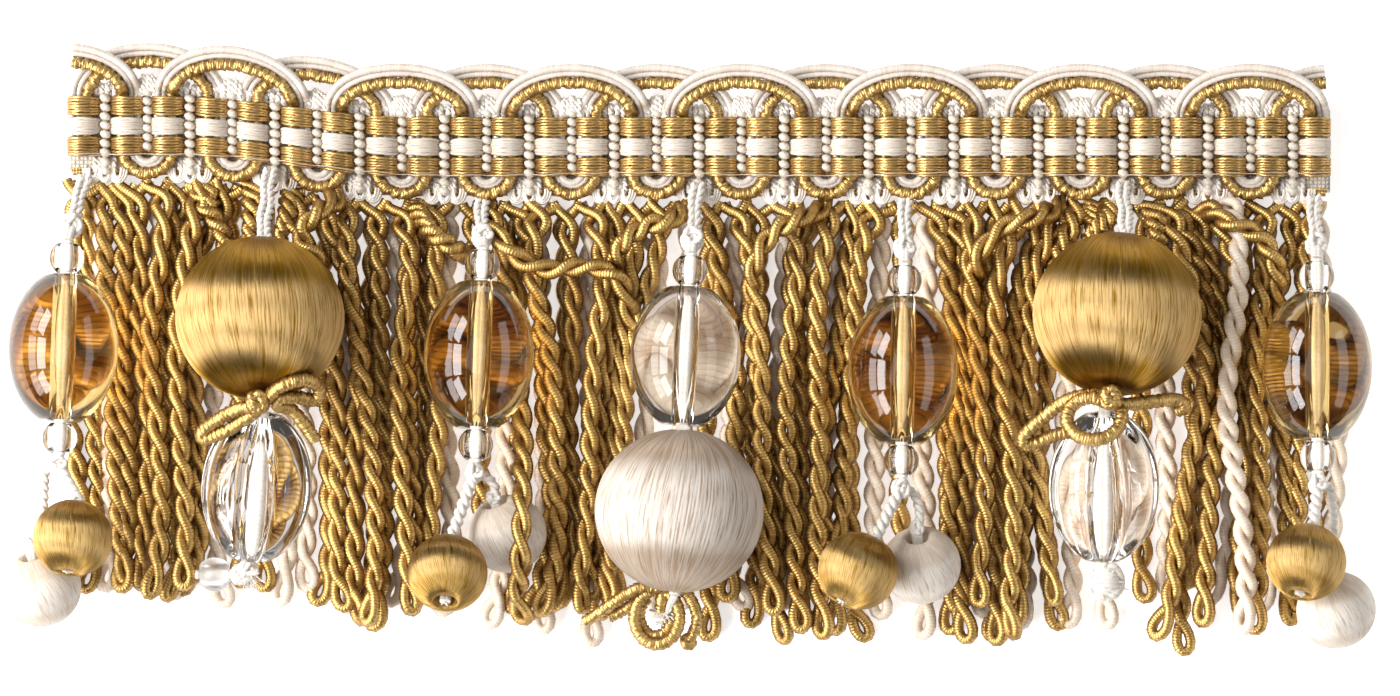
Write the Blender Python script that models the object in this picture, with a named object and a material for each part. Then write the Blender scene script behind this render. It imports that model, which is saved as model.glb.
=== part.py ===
"""A cut length of beaded bullion fringe: a woven heading with wavy gimp braids, two rows of
looped cord fringe, and seven bead drops. It lies face up on a flat surface.

Sizes are in millimetres. A place on the trim is (along, below, height): along the heading from
its left cut end, below the heading's lower edge, and height above the surface it lies on.
"""
import math
import random
from collections import namedtuple

import bmesh
import bpy
from mathutils import Vector

MM = 0.001
CLEARANCE = 0.3

# Where the middle of the whole part lies, in the trim's own measures
MIDDLE_ALONG = 91.8
MIDDLE_BELOW = 22.04

# Heading
HEADING_LENGTH = 186.6
HEADING_RISE = 3.1
RISE_STARTS = 50.8
RISE_RUN = 35.5
TAPE_TOP = -14.8
TAPE_FOOT = -1.4
TAPE_THICKNESS = 2.2
TAPE_STEPS = 18

# Gimp braid
GIMP_PERIOD = 25.08
FRONT_GIMP_FIRST_ARCH = -0.74
BACK_GIMP_FIRST_ARCH = 11.8
ARCH_COUNT = 8
ARCH_HALF_SPAN = 9.585
ARCH_FOOT = -12.8
ARCH_HEIGHT = 5.25
LEG_FOOT = -4.8
BEND_DEPTH = 2.84
GIMP_HALF_WIDTH = 2.15
BEND_HALF_WIDTH = 1.55
GIMP_THICKNESS = 1.4
GIMP_GROOVE = 0.4
CROSSING_LIFT = 1.8
ARCH_STEPS = 8
BEND_STEPS = 4

# Silk bands over the legs: name, top edge, lower edge
BAND_LIMITS = (
    ("band_gold_upper", -12.5, -9.65),
    ("band_cream", -9.35, -6.85),
    ("band_gold_lower", -6.55, -3.7),
)
BAND_THICKNESS = 0.6
BAND_STEPS = 14

# Fringe
STRIP_TOP = -1.1
STRIP_FOOT = 0.1
CREAM_STRIP_HEIGHTS = (0.0, 1.1)
GOLD_STRIP_HEIGHTS = (1.4, 2.2)
CORD_WIDTH = 3.2
CORD_HEIGHT = 2.8
ROOT_WIDTH = 2.5
ROOT_HEIGHT = 0.3
STATIONS = (0.0, 0.07, 0.19, 0.37, 0.58, 0.80, 1.0)
FULLNESS = (0.02, 0.6, 0.9, 1.0, 1.0, 1.0, 0.75)
LEANS = (0.0, 0.5, 1.0, 0.4, 0.0, 0.0, 0.0)
FOOT_TAPER = 0.6
SIDE_GAP = 0.35
LAYER_GAP = 0.12
SPAN_SAMPLES = 4
SETTLING_ROUNDS = 120

# Beads
BALL_RADIUS = 12.45
BALL_HALF_LENGTH = 11.9
SMALL_BALL_RADIUS = 5.9
OVAL_RADIUS = 8.15
OVAL_HALF_LENGTH = 10.8
CREAM_DROP_OVAL_HALF_LENGTH = 10.15
BEAD_RADIUS = 2.6
BEAD_HALF_LENGTH = 2.2
OVAL_RIM = 3.0
BALL_RIM = 1.9
SMALL_BALL_HALF_LENGTH = 5.3
STRING_RADIUS = 0.85
BORE_RADIUS = 1.2
GIMP_CORD_RADIUS = 0.75
BALL_HEIGHT = 15.8
OVAL_HEIGHT = 11.5
GOLD_BALL_HEIGHT = 17.5
CREAM_BALL_HEIGHT = 9.0
OVAL_DIP = 5.0
BALL_DIP = 10.0
ROOT_CORD_RADIUS = 1.1
ROOT_CORD_HEIGHT = 3.65
LOW_ROOT_HEIGHT = 3.7
KNOT_RADIUS = 1.5
UPPER_CORD_MIDDLE = 4.0
UPPER_CORD_HEIGHT = 7.0
UPPER_BEAD_OFFSET = 13.3
UPPER_BEAD_HEIGHT = 10.3
BRANCH_ASIDE = 2.0
BRANCH_BELOW = 0.8
BRANCH_DEPTH = 1.4
BRANCH_SAG = 0.6
STRING_END = 0.4
TIGHT_END = 0.1
END_KNOT_RADIUS = 2.9
END_KNOT_DROP = 13.4
END_KNOT_HEIGHT = 8.8
END_BEAD_ASIDE = 6.3
CORD_SIDES = 5

# From an oval's foot to the small bead at the end of a cord, and to the middle of a ball knot
END_BEAD_OFFSET = (-5.4, 2.0, -1.6)
END_KNOT_OFFSETS = ((-0.4, 1.4, -0.9), (-1.6, 2.0, -1.6))
BALL_KNOT_OFFSET = (0.3, 4.2, -1.2)

# A ball knot's girths: the share of the way to its middle, and the share of its radius
BALL_KNOT_GIRTHS = ((0.15, 0.5), (0.4, 0.9), (0.7, 1.0), (1.0, 0.8), (1.2, 0.3))


def smoothstep(value):
    """Eases from 0 to 1 as value goes from 0 to 1."""
    value = min(max(value, 0.0), 1.0)
    return value * value * (3.0 - 2.0 * value)


def heading_rise(along):
    """How far the heading curves up towards its left end."""
    return HEADING_RISE * smoothstep((RISE_STARTS - along) / RISE_RUN)


def place(along, below, height):
    """A point of the trim as metres in the world."""
    return Vector(((along - MIDDLE_ALONG) * MM, (MIDDLE_BELOW - below) * MM, height * MM))


def material(name, colour, roughness, metallic=0.0, transmission=0.0):
    """A Principled material, made once for each name."""
    if name in bpy.data.materials:
        return bpy.data.materials[name]
    made = bpy.data.materials.new(name)
    made.use_nodes = True
    shader = made.node_tree.nodes["Principled BSDF"]
    shader.inputs["Base Color"].default_value = (*colour, 1.0)
    shader.inputs["Roughness"].default_value = roughness
    shader.inputs["Metallic"].default_value = metallic
    shader.inputs["Transmission Weight"].default_value = transmission
    return made


def gold_silk():
    return material("gold_silk", (0.48, 0.27, 0.06), 0.4)


def cream_silk():
    return material("cream_silk", (0.86, 0.80, 0.68), 0.45)


def cream_cotton():
    return material("cream_cotton", (0.88, 0.84, 0.74), 0.8)


def clear_glass():
    return material("clear_glass", (0.95, 0.95, 0.94), 0.05, 0.0, 0.9)


def amber_glass():
    return material("amber_glass", (0.42, 0.22, 0.07), 0.05, 0.0, 0.8)


def add_piece(name, points, faces, finish, smooth_angle=math.radians(60)):
    """Makes one named object from points in metres and faces."""
    mesh = bpy.data.meshes.new(name)
    mesh.from_pydata([tuple(point) for point in points], [], faces)
    mesh.validate()
    shape = bmesh.new()
    shape.from_mesh(mesh)
    bmesh.ops.recalc_face_normals(shape, faces=shape.faces)
    shape.to_mesh(mesh)
    shape.free()
    mesh.materials.append(finish)
    mesh.shade_smooth()
    mesh.set_sharp_from_angle(angle=smooth_angle)
    piece = bpy.data.objects.new(name, mesh)
    bpy.context.scene.collection.objects.link(piece)
    return piece


def skin_rings(rings):
    """Faces of a closed tube through equal rings of points, capped at both ends."""
    size = len(rings[0])
    faces = []
    for ring in range(len(rings) - 1):
        for side in range(size):
            near = ring * size + side
            next_side = ring * size + (side + 1) % size
            faces.append((near, next_side, next_side + size, near + size))
    faces.append(tuple(reversed(range(size))))
    last = (len(rings) - 1) * size
    faces.append(tuple(range(last, last + size)))
    points = [point for ring in rings for point in ring]
    return points, faces


def smooth_route(stops, steps):
    """Points of a smooth curve through the stops, with steps points for each span."""
    stops = [Vector(stop) for stop in stops]
    padded = [stops[0] * 2 - stops[1]] + stops + [stops[-1] * 2 - stops[-2]]
    route = []
    for index in range(1, len(padded) - 2):
        before, start, end, after = padded[index - 1:index + 3]
        for step in range(steps):
            t = step / steps
            route.append(0.5 * (
                2 * start + (end - before) * t
                + (2 * before - 5 * start + 4 * end - after) * t ** 2
                + (3 * start - before - 3 * end + after) * t ** 3
            ))
    route.append(stops[-1])
    return route


def add_tube(name, route, radii, finish):
    """A round cord along a route of (along, below, height) points, with a radius at each."""
    rings = []
    reference = Vector((0.0, 0.0, 1.0))
    for index, centre in enumerate(route):
        ahead = route[min(index + 1, len(route) - 1)]
        behind = route[max(index - 1, 0)]
        direction = (ahead - behind).normalized()
        across = direction.cross(reference)
        if across.length < 0.2:
            across = direction.cross(Vector((1.0, 0.0, 0.0)))
        across.normalize()
        reference = across.cross(direction)
        ring = []
        for side in range(CORD_SIDES):
            angle = 2 * math.pi * side / CORD_SIDES
            offset = across * math.cos(angle) + reference * math.sin(angle)
            ring.append(place(*(centre + offset * radii[index])))
        rings.append(ring)
    points, faces = skin_rings(rings)
    return add_piece(name, points, faces, finish)


def heading_tape():
    """The woven ground of the heading, flat underneath, curving up at its left end."""
    rings = []
    for step in range(TAPE_STEPS + 1):
        along = HEADING_LENGTH * step / TAPE_STEPS
        rise = heading_rise(along)
        rings.append([
            place(along, TAPE_TOP - rise, 0.0),
            place(along, TAPE_FOOT - rise, 0.0),
            place(along, TAPE_FOOT - rise, TAPE_THICKNESS),
            place(along, TAPE_TOP - rise, TAPE_THICKNESS),
        ])
    points, faces = skin_rings(rings)
    return add_piece("heading_tape", points, faces, cream_cotton())


def gimp_stops(first_arch, starts_at_crown, ends_at_crown):
    """Stops (along, below, lift, half width) of one wavy gimp from left to right."""
    stops = []
    for arch in range(ARCH_COUNT):
        centre = first_arch + arch * GIMP_PERIOD
        first_step = ARCH_STEPS // 2 + 1 if arch == 0 and starts_at_crown else 0
        last_step = ARCH_STEPS // 2 - 1 if arch == ARCH_COUNT - 1 and ends_at_crown else ARCH_STEPS
        if arch == 0 and not starts_at_crown:
            stops.append((centre - ARCH_HALF_SPAN, LEG_FOOT, 0.0, GIMP_HALF_WIDTH))
        for step in range(first_step, last_step + 1):
            angle = math.pi * step / ARCH_STEPS
            stops.append((
                centre - ARCH_HALF_SPAN * math.cos(angle),
                ARCH_FOOT - ARCH_HEIGHT * math.sin(angle),
                0.0 if step in (0, ARCH_STEPS) else 1.0,
                GIMP_HALF_WIDTH,
            ))
        if last_step < ARCH_STEPS:
            continue
        stops.append((centre + ARCH_HALF_SPAN, LEG_FOOT, 0.0, GIMP_HALF_WIDTH))
        if arch == ARCH_COUNT - 1:
            continue
        bend_radius = GIMP_PERIOD / 2 - ARCH_HALF_SPAN
        for step in range(1, BEND_STEPS):
            angle = math.pi * step / BEND_STEPS
            stops.append((
                centre + GIMP_PERIOD / 2 - bend_radius * math.cos(angle),
                LEG_FOOT + BEND_DEPTH * math.sin(angle),
                0.0,
                BEND_HALF_WIDTH,
            ))
        stops.append((centre + GIMP_PERIOD - ARCH_HALF_SPAN, LEG_FOOT, 0.0, GIMP_HALF_WIDTH))
    return stops


def gimp(name, first_arch, crossing_lift, starts_at_crown, ends_at_crown, finish):
    """One gimp braid of three cords side by side, as a band with three ridges."""
    stops = gimp_stops(first_arch, starts_at_crown, ends_at_crown)
    floor = TAPE_THICKNESS + CLEARANCE
    rings = []
    for index, (along, below, lift, half_width) in enumerate(stops):
        ahead = stops[min(index + 1, len(stops) - 1)]
        behind = stops[max(index - 1, 0)]
        direction = Vector((ahead[0] - behind[0], ahead[1] - behind[1]))
        direction.normalize()
        side = Vector((-direction.y, direction.x))
        foot = floor + lift * crossing_lift
        crest = foot + GIMP_THICKNESS
        groove = crest - GIMP_GROOVE
        profile = (
            (-1.0, foot), (1.0, foot), (0.92, crest), (0.36, groove),
            (0.0, crest), (-0.36, groove), (-0.92, crest),
        )
        ring = []
        for across, height in profile:
            point_along = along + side.x * half_width * across
            point_below = below + side.y * half_width * across
            ring.append(place(point_along, point_below - heading_rise(point_along), height))
        rings.append(ring)
    points, faces = skin_rings(rings)
    return add_piece(name, points, faces, finish)


def silk_band(name, top, foot, finish):
    """One flat silk band that runs along the heading, over the gimp's legs."""
    low = TAPE_THICKNESS + CLEARANCE + GIMP_THICKNESS + CLEARANCE
    rings = []
    for step in range(BAND_STEPS + 1):
        along = HEADING_LENGTH * step / BAND_STEPS
        rise = heading_rise(along)
        rings.append([
            place(along, top - rise, low),
            place(along, foot - rise, low),
            place(along, foot - rise, low + BAND_THICKNESS),
            place(along, top - rise, low + BAND_THICKNESS),
        ])
    points, faces = skin_rings(rings)
    return add_piece(name, points, faces, finish)


# Fringe clumps, left to right. A cord that is rooted between root_left and root_right hangs in
# the same share of the widths given at the upper and middle levels and at the feet
Clump = namedtuple("Clump", (
    "root_left", "root_right", "upper_left", "upper_right", "middle_left", "middle_right",
    "foot_left", "foot_right", "shortest", "longest",
))
UPPER_LEVEL = 17.6
MIDDLE_LEVEL = 41.7
GOLD_CLUMPS = (
    Clump(0.0, 17.5, 6.6, 15.6, 5.2, 17.0, 3.6, 16.5, 57.0, 60.5),
    Clump(17.5, 28.0, 13.0, 17.0, 15.5, 20.5, 14.0, 21.5, 57.0, 60.5),
    Clump(28.0, 41.0, 41.5, 44.5, 36.5, 43.5, 35.5, 44.0, 60.5, 65.5),
    Clump(41.0, 56.5, 44.0, 53.0, 44.5, 53.5, 44.0, 55.0, 61.0, 64.0),
    Clump(56.5, 65.0, 55.5, 66.0, 56.0, 65.0, 55.0, 66.0, 58.5, 63.0),
    Clump(65.0, 75.0, 68.5, 74.5, 69.5, 74.5, 67.5, 72.5, 61.0, 64.5),
    Clump(75.0, 85.0, 76.0, 83.5, 75.5, 79.5, 74.0, 79.5, 59.0, 63.0),
    Clump(85.0, 99.0, 86.5, 101.5, 77.5, 104.5, 78.5, 104.5, 56.0, 63.0),
    Clump(99.0, 108.0, 98.5, 107.5, 102.5, 108.0, 103.5, 109.5, 63.0, 67.0),
    Clump(108.0, 119.0, 107.5, 116.0, 107.5, 114.0, 107.0, 116.0, 63.0, 67.0),
    Clump(119.0, 128.5, 118.0, 129.0, 116.5, 129.0, 115.5, 129.5, 58.0, 63.0),
    Clump(128.5, 138.0, 131.5, 137.5, 131.0, 137.5, 130.5, 137.0, 60.0, 66.0),
    Clump(138.0, 149.5, 136.5, 141.5, 137.5, 144.0, 136.5, 144.5, 63.0, 66.5),
    Clump(149.5, 159.0, 139.5, 143.5, 141.5, 146.5, 140.5, 147.0, 60.0, 65.5),
    Clump(159.0, 170.0, 167.5, 171.5, 162.5, 168.5, 157.5, 167.5, 62.0, 67.5),
    Clump(170.0, 180.0, 170.5, 178.5, 171.0, 178.5, 169.5, 178.0, 62.0, 65.5),
    Clump(180.0, 187.0, 179.5, 186.5, 180.5, 186.5, 179.0, 186.5, 60.0, 65.0),
)
FLOOR_CLUMPS = (
    Clump(0.0, 18.0, 3.0, 17.0, 4.0, 17.5, 4.0, 17.0, 56.0, 60.0),
    Clump(18.0, 42.0, 18.0, 44.0, 19.0, 44.0, 20.0, 43.0, 57.0, 62.0),
    Clump(42.0, 57.0, 44.5, 56.0, 47.5, 57.0, 46.5, 56.0, 58.0, 63.0),
    Clump(57.0, 76.0, 57.0, 75.0, 58.0, 75.0, 58.0, 72.0, 59.0, 65.0),
    Clump(76.0, 84.0, 74.5, 82.0, 73.0, 79.5, 71.0, 79.0, 58.0, 66.3),
    Clump(84.0, 100.0, 87.5, 101.0, 85.0, 102.0, 90.0, 103.0, 60.0, 66.5),
    Clump(100.0, 113.0, 100.0, 112.0, 101.0, 109.5, 102.0, 110.0, 60.0, 66.0),
    Clump(113.0, 121.0, 115.0, 120.0, 112.5, 117.0, 109.0, 118.0, 61.0, 66.0),
    Clump(121.0, 133.0, 121.0, 130.5, 122.0, 132.0, 127.0, 133.0, 58.0, 65.0),
    Clump(133.0, 150.0, 132.0, 149.0, 132.0, 148.0, 131.0, 149.0, 60.0, 66.0),
    Clump(150.0, 168.0, 150.0, 167.0, 149.0, 168.5, 149.5, 167.0, 57.0, 65.0),
    Clump(168.0, 178.0, 169.5, 177.5, 171.5, 177.5, 170.0, 178.0, 60.0, 65.0),
    Clump(178.0, 187.0, 180.0, 186.0, 182.0, 187.0, 179.0, 186.0, 58.0, 62.0),
)
COLUMNS = 52
COLUMN_PITCH = (HEADING_LENGTH - 2 * ROOT_WIDTH) / (COLUMNS - 1)

# Rows of fringe cords: the columns that they take, the height of their roots, the layer that they
# lie in, how far they lean over their neighbours below the roots, and how far the roots keep from
# the middle of a large ball and from the cord of an amber drop
Row = namedtuple("Row", "clumps first step root_height layer lean ball_gap drop_gap seed")
CREAM_ROW = Row(FLOOR_CLUMPS, 1, 2, 0.55, 0, 0.5, 0.0, 0.0, 11)
GOLD_BACK_ROW = Row(FLOOR_CLUMPS, 0, 2, 1.59, 0, 0.5, 2.7, 0.0, 23)
GOLD_MIDDLE_ROW = Row(GOLD_CLUMPS, 0, 2, 2.01, 1, 1.6, 4.5, 2.7, 37)
GOLD_FRONT_ROW = Row(GOLD_CLUMPS, 1, 2, 2.01, 2, 2.6, 8.0, 5.5, 41)


def level_along(below, levels, alongs):
    """Reads a smooth line through the places alongs at the given levels, at one level."""
    span = 0
    while span < len(levels) - 2 and below > levels[span + 1]:
        span += 1
    start, end = levels[span], levels[span + 1]
    run = end - start
    t = min(max((below - start) / run, 0.0), 1.0)
    slopes = []
    for knot in (span, span + 1):
        low = max(knot - 1, 0)
        high = min(knot + 1, len(levels) - 1)
        slopes.append((alongs[high] - alongs[low]) / (levels[high] - levels[low]))
    value = alongs[span] * (1 - t) ** 2 * (1 + 2 * t) + alongs[span + 1] * t ** 2 * (3 - 2 * t)
    return value + run * (slopes[0] * t * (1 - t) ** 2 - slopes[1] * t ** 2 * (1 - t))


def plan_row(row):
    """The plan (along, below) of each cord in a row, station by station, from the clumps."""
    chance = random.Random(row.seed)
    plans = []
    for column in range(row.first, COLUMNS, row.step):
        root = ROOT_WIDTH + column * COLUMN_PITCH
        wander = [chance.uniform(-1.0, 1.0) for _ in range(4)]
        clump = next(item for item in row.clumps if root < item.root_right)
        share = (root - clump.root_left) / (clump.root_right - clump.root_left)
        length_share = chance.random()
        under_ball = any(
            abs(root - drop.ball[0]) < row.ball_gap for drop in GOLD_DROPS + (CREAM_DROP,)
        )
        under_cord = any(abs(root - drop.root[0]) < row.drop_gap for drop in AMBER_DROPS)
        if under_ball or under_cord:
            continue
        root_below = STRIP_FOOT - heading_rise(root)
        foot_below = clump.shortest + (clump.longest - clump.shortest) * length_share
        levels = (root_below, UPPER_LEVEL, MIDDLE_LEVEL, foot_below)
        alongs = (
            root,
            clump.upper_left + (clump.upper_right - clump.upper_left) * share + wander[0],
            clump.middle_left + (clump.middle_right - clump.middle_left) * share + wander[1],
            clump.foot_left + (clump.foot_right - clump.foot_left) * share + wander[2],
        )
        plan = []
        for station, lean in zip(STATIONS, LEANS):
            below = root_below + (foot_below - root_below) * station
            along = level_along(below, levels, alongs) + row.lean * lean * wander[3]
            plan.append([along, below])
        plans.append(plan)
    return plans


def half_sizes(station):
    """Half the width and half the height of a fringe cord at one station."""
    fullness = FULLNESS[station]
    half_width = (ROOT_WIDTH + (CORD_WIDTH - ROOT_WIDTH) * min(1.0, fullness * 1.5)) / 2
    half_height = (ROOT_HEIGHT + (CORD_HEIGHT - ROOT_HEIGHT) * fullness) / 2
    if station == len(STATIONS) - 1:
        half_width *= FOOT_TAPER
    return half_width, half_height


def station_height(row, station):
    """The height of a row's cords at one station, each layer lying on the one below it."""
    if station == 0:
        return row.root_height
    below = half_sizes(min(station, len(STATIONS) - 2))[1] * 2 + LAYER_GAP
    return below * row.layer + half_sizes(station)[1]


def bead_push(along, below, height, half_width, solids):
    """How far sideways a cord has to move to clear the beads, with its sign."""
    push = 0.0
    for solid in solids:
        reach = solid.half_length + half_width
        off = (below - solid.below) / reach
        if abs(off) >= 1.0:
            continue
        girth = solid.radius * math.sqrt(1.0 - off * off) + half_width + CLEARANCE
        rise = height - solid.height
        if abs(rise) >= girth:
            continue
        needed = math.sqrt(girth * girth - rise * rise)
        side = along - solid.along
        if abs(side) < needed:
            away = needed - abs(side)
            if away > abs(push):
                push = away if side >= 0 else -away
    return push


def clear_beads(plan, row, solids):
    """Moves one cord sideways, clear of the beads along its whole length."""
    for span in range(len(plan) - 1):
        for sample in range(SPAN_SAMPLES + 1):
            t = sample / SPAN_SAMPLES
            along = plan[span][0] * (1 - t) + plan[span + 1][0] * t
            below = plan[span][1] * (1 - t) + plan[span + 1][1] * t
            height = station_height(row, span) * (1 - t) + station_height(row, span + 1) * t
            push = bead_push(along, below, height, CORD_WIDTH / 2, solids)
            if span > 0:
                plan[span][0] += push * min(1.0, 2 - 2 * t)
            plan[span + 1][0] += push * min(1.0, 2 * t)


def settle_layer(plans, row, solids):
    """Moves the cords of one layer apart and clear of the beads, over and over."""
    order = sorted(plans, key=lambda plan: plan[0][0])
    for _ in range(SETTLING_ROUNDS):
        for plan in order:
            clear_beads(plan, row, solids)
        for station in range(1, len(STATIONS)):
            for near, far in zip(order, order[1:]):
                short = CORD_WIDTH + SIDE_GAP - (far[station][0] - near[station][0])
                if short > 0.0:
                    near[station][0] -= short / 2
                    far[station][0] += short / 2


def lay_fringe():
    """Lays the fringe cords in three layers; returns the stations of each cord, row by row."""
    solids = bead_solids()
    rows = (CREAM_ROW, GOLD_BACK_ROW, GOLD_MIDDLE_ROW, GOLD_FRONT_ROW)
    plans = [plan_row(row) for row in rows]
    settle_layer(plans[0] + plans[1], CREAM_ROW, solids)
    settle_layer(plans[2], GOLD_MIDDLE_ROW, solids)
    settle_layer(plans[3], GOLD_FRONT_ROW, solids)
    laid = []
    for row, row_plans in zip(rows, plans):
        laid.append([
            [
                (*point, station_height(row, station), *half_sizes(station))
                for station, point in enumerate(plan)
            ]
            for plan in row_plans
        ])
    return laid


def cord_ring(cord, station):
    """The four corners of a fringe cord at a station: left, top, right and bottom."""
    along, below, height, half_width, half_height = cord[station]
    if station == 0:
        side = Vector((1.0, 0.0))
    else:
        ahead = cord[min(station + 1, len(cord) - 1)]
        behind = cord[station - 1]
        heading = Vector((ahead[0] - behind[0], ahead[1] - behind[1])).normalized()
        side = Vector((heading.y, -heading.x))
    return [
        place(along - side.x * half_width, below - side.y * half_width, height),
        place(along, below, height + half_height),
        place(along + side.x * half_width, below + side.y * half_width, height),
        place(along, below, max(height - half_height, 0.0)),
    ]


def fringe(name, heights, rows, finish):
    """A root strip with its cords grown out of the strip's lower edge, as one body."""
    points = []
    faces = []

    def add(*new_points):
        first = len(points)
        points.extend(new_points)
        return list(range(first, first + len(new_points)))

    columns = sorted({round(cord[0][0], 4) for row in rows for cord in row})
    edges = [0.5]
    edges += [(near + far) / 2 for near, far in zip(columns, columns[1:])]
    edges.append(HEADING_LENGTH - 0.5)
    low, high = heights
    levels = [low + (high - low) * level / len(rows) for level in range(len(rows) + 1)]
    sections = []
    for edge in edges:
        rise = heading_rise(edge)
        section = add(*[place(edge, STRIP_FOOT - rise, level) for level in levels])
        section += add(place(edge, STRIP_TOP - rise, high), place(edge, STRIP_TOP - rise, low))
        sections.append(section)
    size = len(sections[0])
    faces.append(tuple(sections[0]))
    faces.append(tuple(reversed(sections[-1])))
    for column, (near, far) in enumerate(zip(sections, sections[1:])):
        for corner in range(len(levels) - 1, size):
            following = (corner + 1) % size
            faces.append((near[corner], near[following], far[following], far[corner]))
        for level, row in enumerate(rows):
            cell = (near[level], near[level + 1], far[level + 1], far[level])
            cord = next((item for item in row if round(item[0][0], 4) == columns[column]), None)
            if cord is None:
                faces.append(cell)
                continue
            rings = [add(*cord_ring(cord, station)) for station in range(len(cord))]
            root = rings[0]
            for corner in range(4):
                opposite = (corner + 1) % 4
                faces.append((cell[corner], cell[opposite], root[corner]))
                faces.append((cell[opposite], root[opposite], root[corner]))
            for ring, following_ring in zip(rings, rings[1:]):
                for corner in range(4):
                    opposite = (corner + 1) % 4
                    faces.append((
                        ring[corner], ring[opposite],
                        following_ring[opposite], following_ring[corner],
                    ))
            faces.append(tuple(rings[-1]))
    return add_piece(name, points, faces, finish)


# Drops. A place is (along, below). turn is how far the upper end leans to the right, and dip how
# far it leans down to the surface, in degrees
AmberDrop = namedtuple("AmberDrop", (
    "name", "root", "oval", "turn", "gold_ball", "gold_turn", "gold_dip", "cream_ball",
    "cream_turn", "cream_dip",
))
AMBER_DROPS = (
    AmberDrop("amber_drop_1", (2.4, 0.3), (-0.3, 21.6), 2.0, (1.4, 49.5), 8.0, 12.0,
              (-3.6, 57.0), -15.0, -20.0),
    AmberDrop("amber_drop_2", (61.2, 0.3), (60.9, 22.6), 2.0, (56.4, 54.6), 4.0, 35.0,
              (65.0, 49.0), -20.0, -20.0),
    AmberDrop("amber_drop_3", (123.8, 0.3), (123.3, 24.9), 1.0, (116.6, 54.3), 28.0, 10.0,
              (126.0, 53.6), -8.0, -35.0),
    AmberDrop("amber_drop_4", (184.2, 0.3), (184.3, 24.3), 0.0, (182.4, 53.0), 12.0, 20.0,
              (187.2, 60.2), -15.0, -20.0),
)
GoldDrop = namedtuple("GoldDrop", "name root ball ball_turn oval oval_turn bow end_bead")
GOLD_DROPS = (
    GoldDrop("gold_drop_1", (29.9, -4.7), (28.8, 17.2), 2.0, (28.2, 42.0), 5.0, (
        (20.0, 34.4, 0.2), (23.0, 32.6, 1.4), (25.8, 31.2, 3.0), (28.3, 30.5, 4.4),
        (30.2, 29.6, 6.0), (31.9, 28.4, 7.0), (34.6, 26.6, 7.8), (37.0, 26.6, 5.6),
        (37.9, 28.4, 3.0), (36.4, 30.0, 2.4), (34.2, 30.6, 2.4), (33.4, 31.8, 2.2),
        (35.2, 33.6, 1.4), (37.2, 35.6, 0.2),
    ), True),
    GoldDrop("gold_drop_2", (155.9, -2.6), (154.7, 16.6), 7.0, (152.9, 42.0), 0.0, (
        (141.3, 35.2, 0.2), (143.4, 32.9, 1.0), (146.3, 30.7, 2.4), (149.3, 30.2, 2.8),
        (152.6, 30.6, 2.3), (154.6, 32.2, 4.6), (153.2, 34.6, 7.4), (150.4, 35.2, 7.6),
        (147.9, 34.2, 6.4), (147.6, 32.0, 5.4), (149.4, 30.4, 5.6), (153.0, 30.0, 6.4),
        (157.0, 30.0, 4.2), (160.4, 29.8, 2.6), (163.3, 30.1, 1.8),
    ), False),
)
CreamDrop = namedtuple("CreamDrop", "name root oval oval_turn ball ball_turn bow")
CREAM_DROP = CreamDrop("cream_drop", (93.1, -2.6), (91.3, 22.8), 3.0, (90.4, 45.5), 3.0, (
    (76.5, 61.8, -4.4), (79.5, 61.2, -3.8), (82.3, 59.9, -2.6), (85.0, 58.7, -1.2),
    (87.6, 58.4, -0.6), (89.7, 59.8, -1.2), (90.0, 62.2, -2.2), (88.2, 64.4, -3.0),
    (85.6, 64.4, -3.0), (83.9, 62.6, -1.6), (84.4, 60.2, 0.8), (86.6, 58.8, 2.0),
    (89.2, 58.8, 1.8), (91.6, 60.0, 0.0), (92.4, 62.6, -2.2), (92.6, 65.8, -3.6),
))
# A bead as the fringe cords meet it
Solid = namedtuple("Solid", "along below height radius half_length")


def bead_solids():
    """The beads and the free stretches of the drops' cords that the fringe lies clear of."""
    solids = []
    for drop in AMBER_DROPS + GOLD_DROPS + (CREAM_DROP,):
        solids.append(Solid(drop.root[0], UPPER_CORD_MIDDLE, UPPER_CORD_HEIGHT, KNOT_RADIUS,
                            UPPER_CORD_MIDDLE))
    for drop in AMBER_DROPS:
        solids.append(Solid(*drop.oval, OVAL_HEIGHT, OVAL_RADIUS, OVAL_HALF_LENGTH))
        solids.append(Solid(drop.oval[0], drop.oval[1] - UPPER_BEAD_OFFSET, UPPER_BEAD_HEIGHT,
                            BEAD_RADIUS, BEAD_RADIUS))
        for ball, height in ((drop.gold_ball, GOLD_BALL_HEIGHT), (drop.cream_ball, CREAM_BALL_HEIGHT)):
            solids.append(Solid(*ball, height, SMALL_BALL_RADIUS, SMALL_BALL_RADIUS))
    for drop in GOLD_DROPS + (CREAM_DROP,):
        solids.append(Solid(*drop.ball, BALL_HEIGHT, BALL_RADIUS, BALL_RADIUS))
        solids.append(Solid(*drop.oval, OVAL_HEIGHT, OVAL_RADIUS, OVAL_HALF_LENGTH))
    for drop in GOLD_DROPS:
        solids.append(Solid(drop.oval[0], drop.oval[1] + END_KNOT_DROP, END_KNOT_HEIGHT,
                            END_KNOT_RADIUS, END_KNOT_RADIUS))
        if drop.end_bead:
            solids.append(Solid(drop.oval[0] - END_BEAD_ASIDE, drop.oval[1] + END_KNOT_DROP,
                                END_KNOT_HEIGHT, END_KNOT_RADIUS, END_KNOT_RADIUS))
    return solids


def axis_direction(turn, dip):
    """The direction (along, below, height) from a bead's lower end to its upper end."""
    turn = math.radians(turn)
    dip = math.radians(dip)
    return Vector((
        math.sin(turn) * math.cos(dip), -math.cos(turn) * math.cos(dip), -math.sin(dip),
    ))


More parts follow.
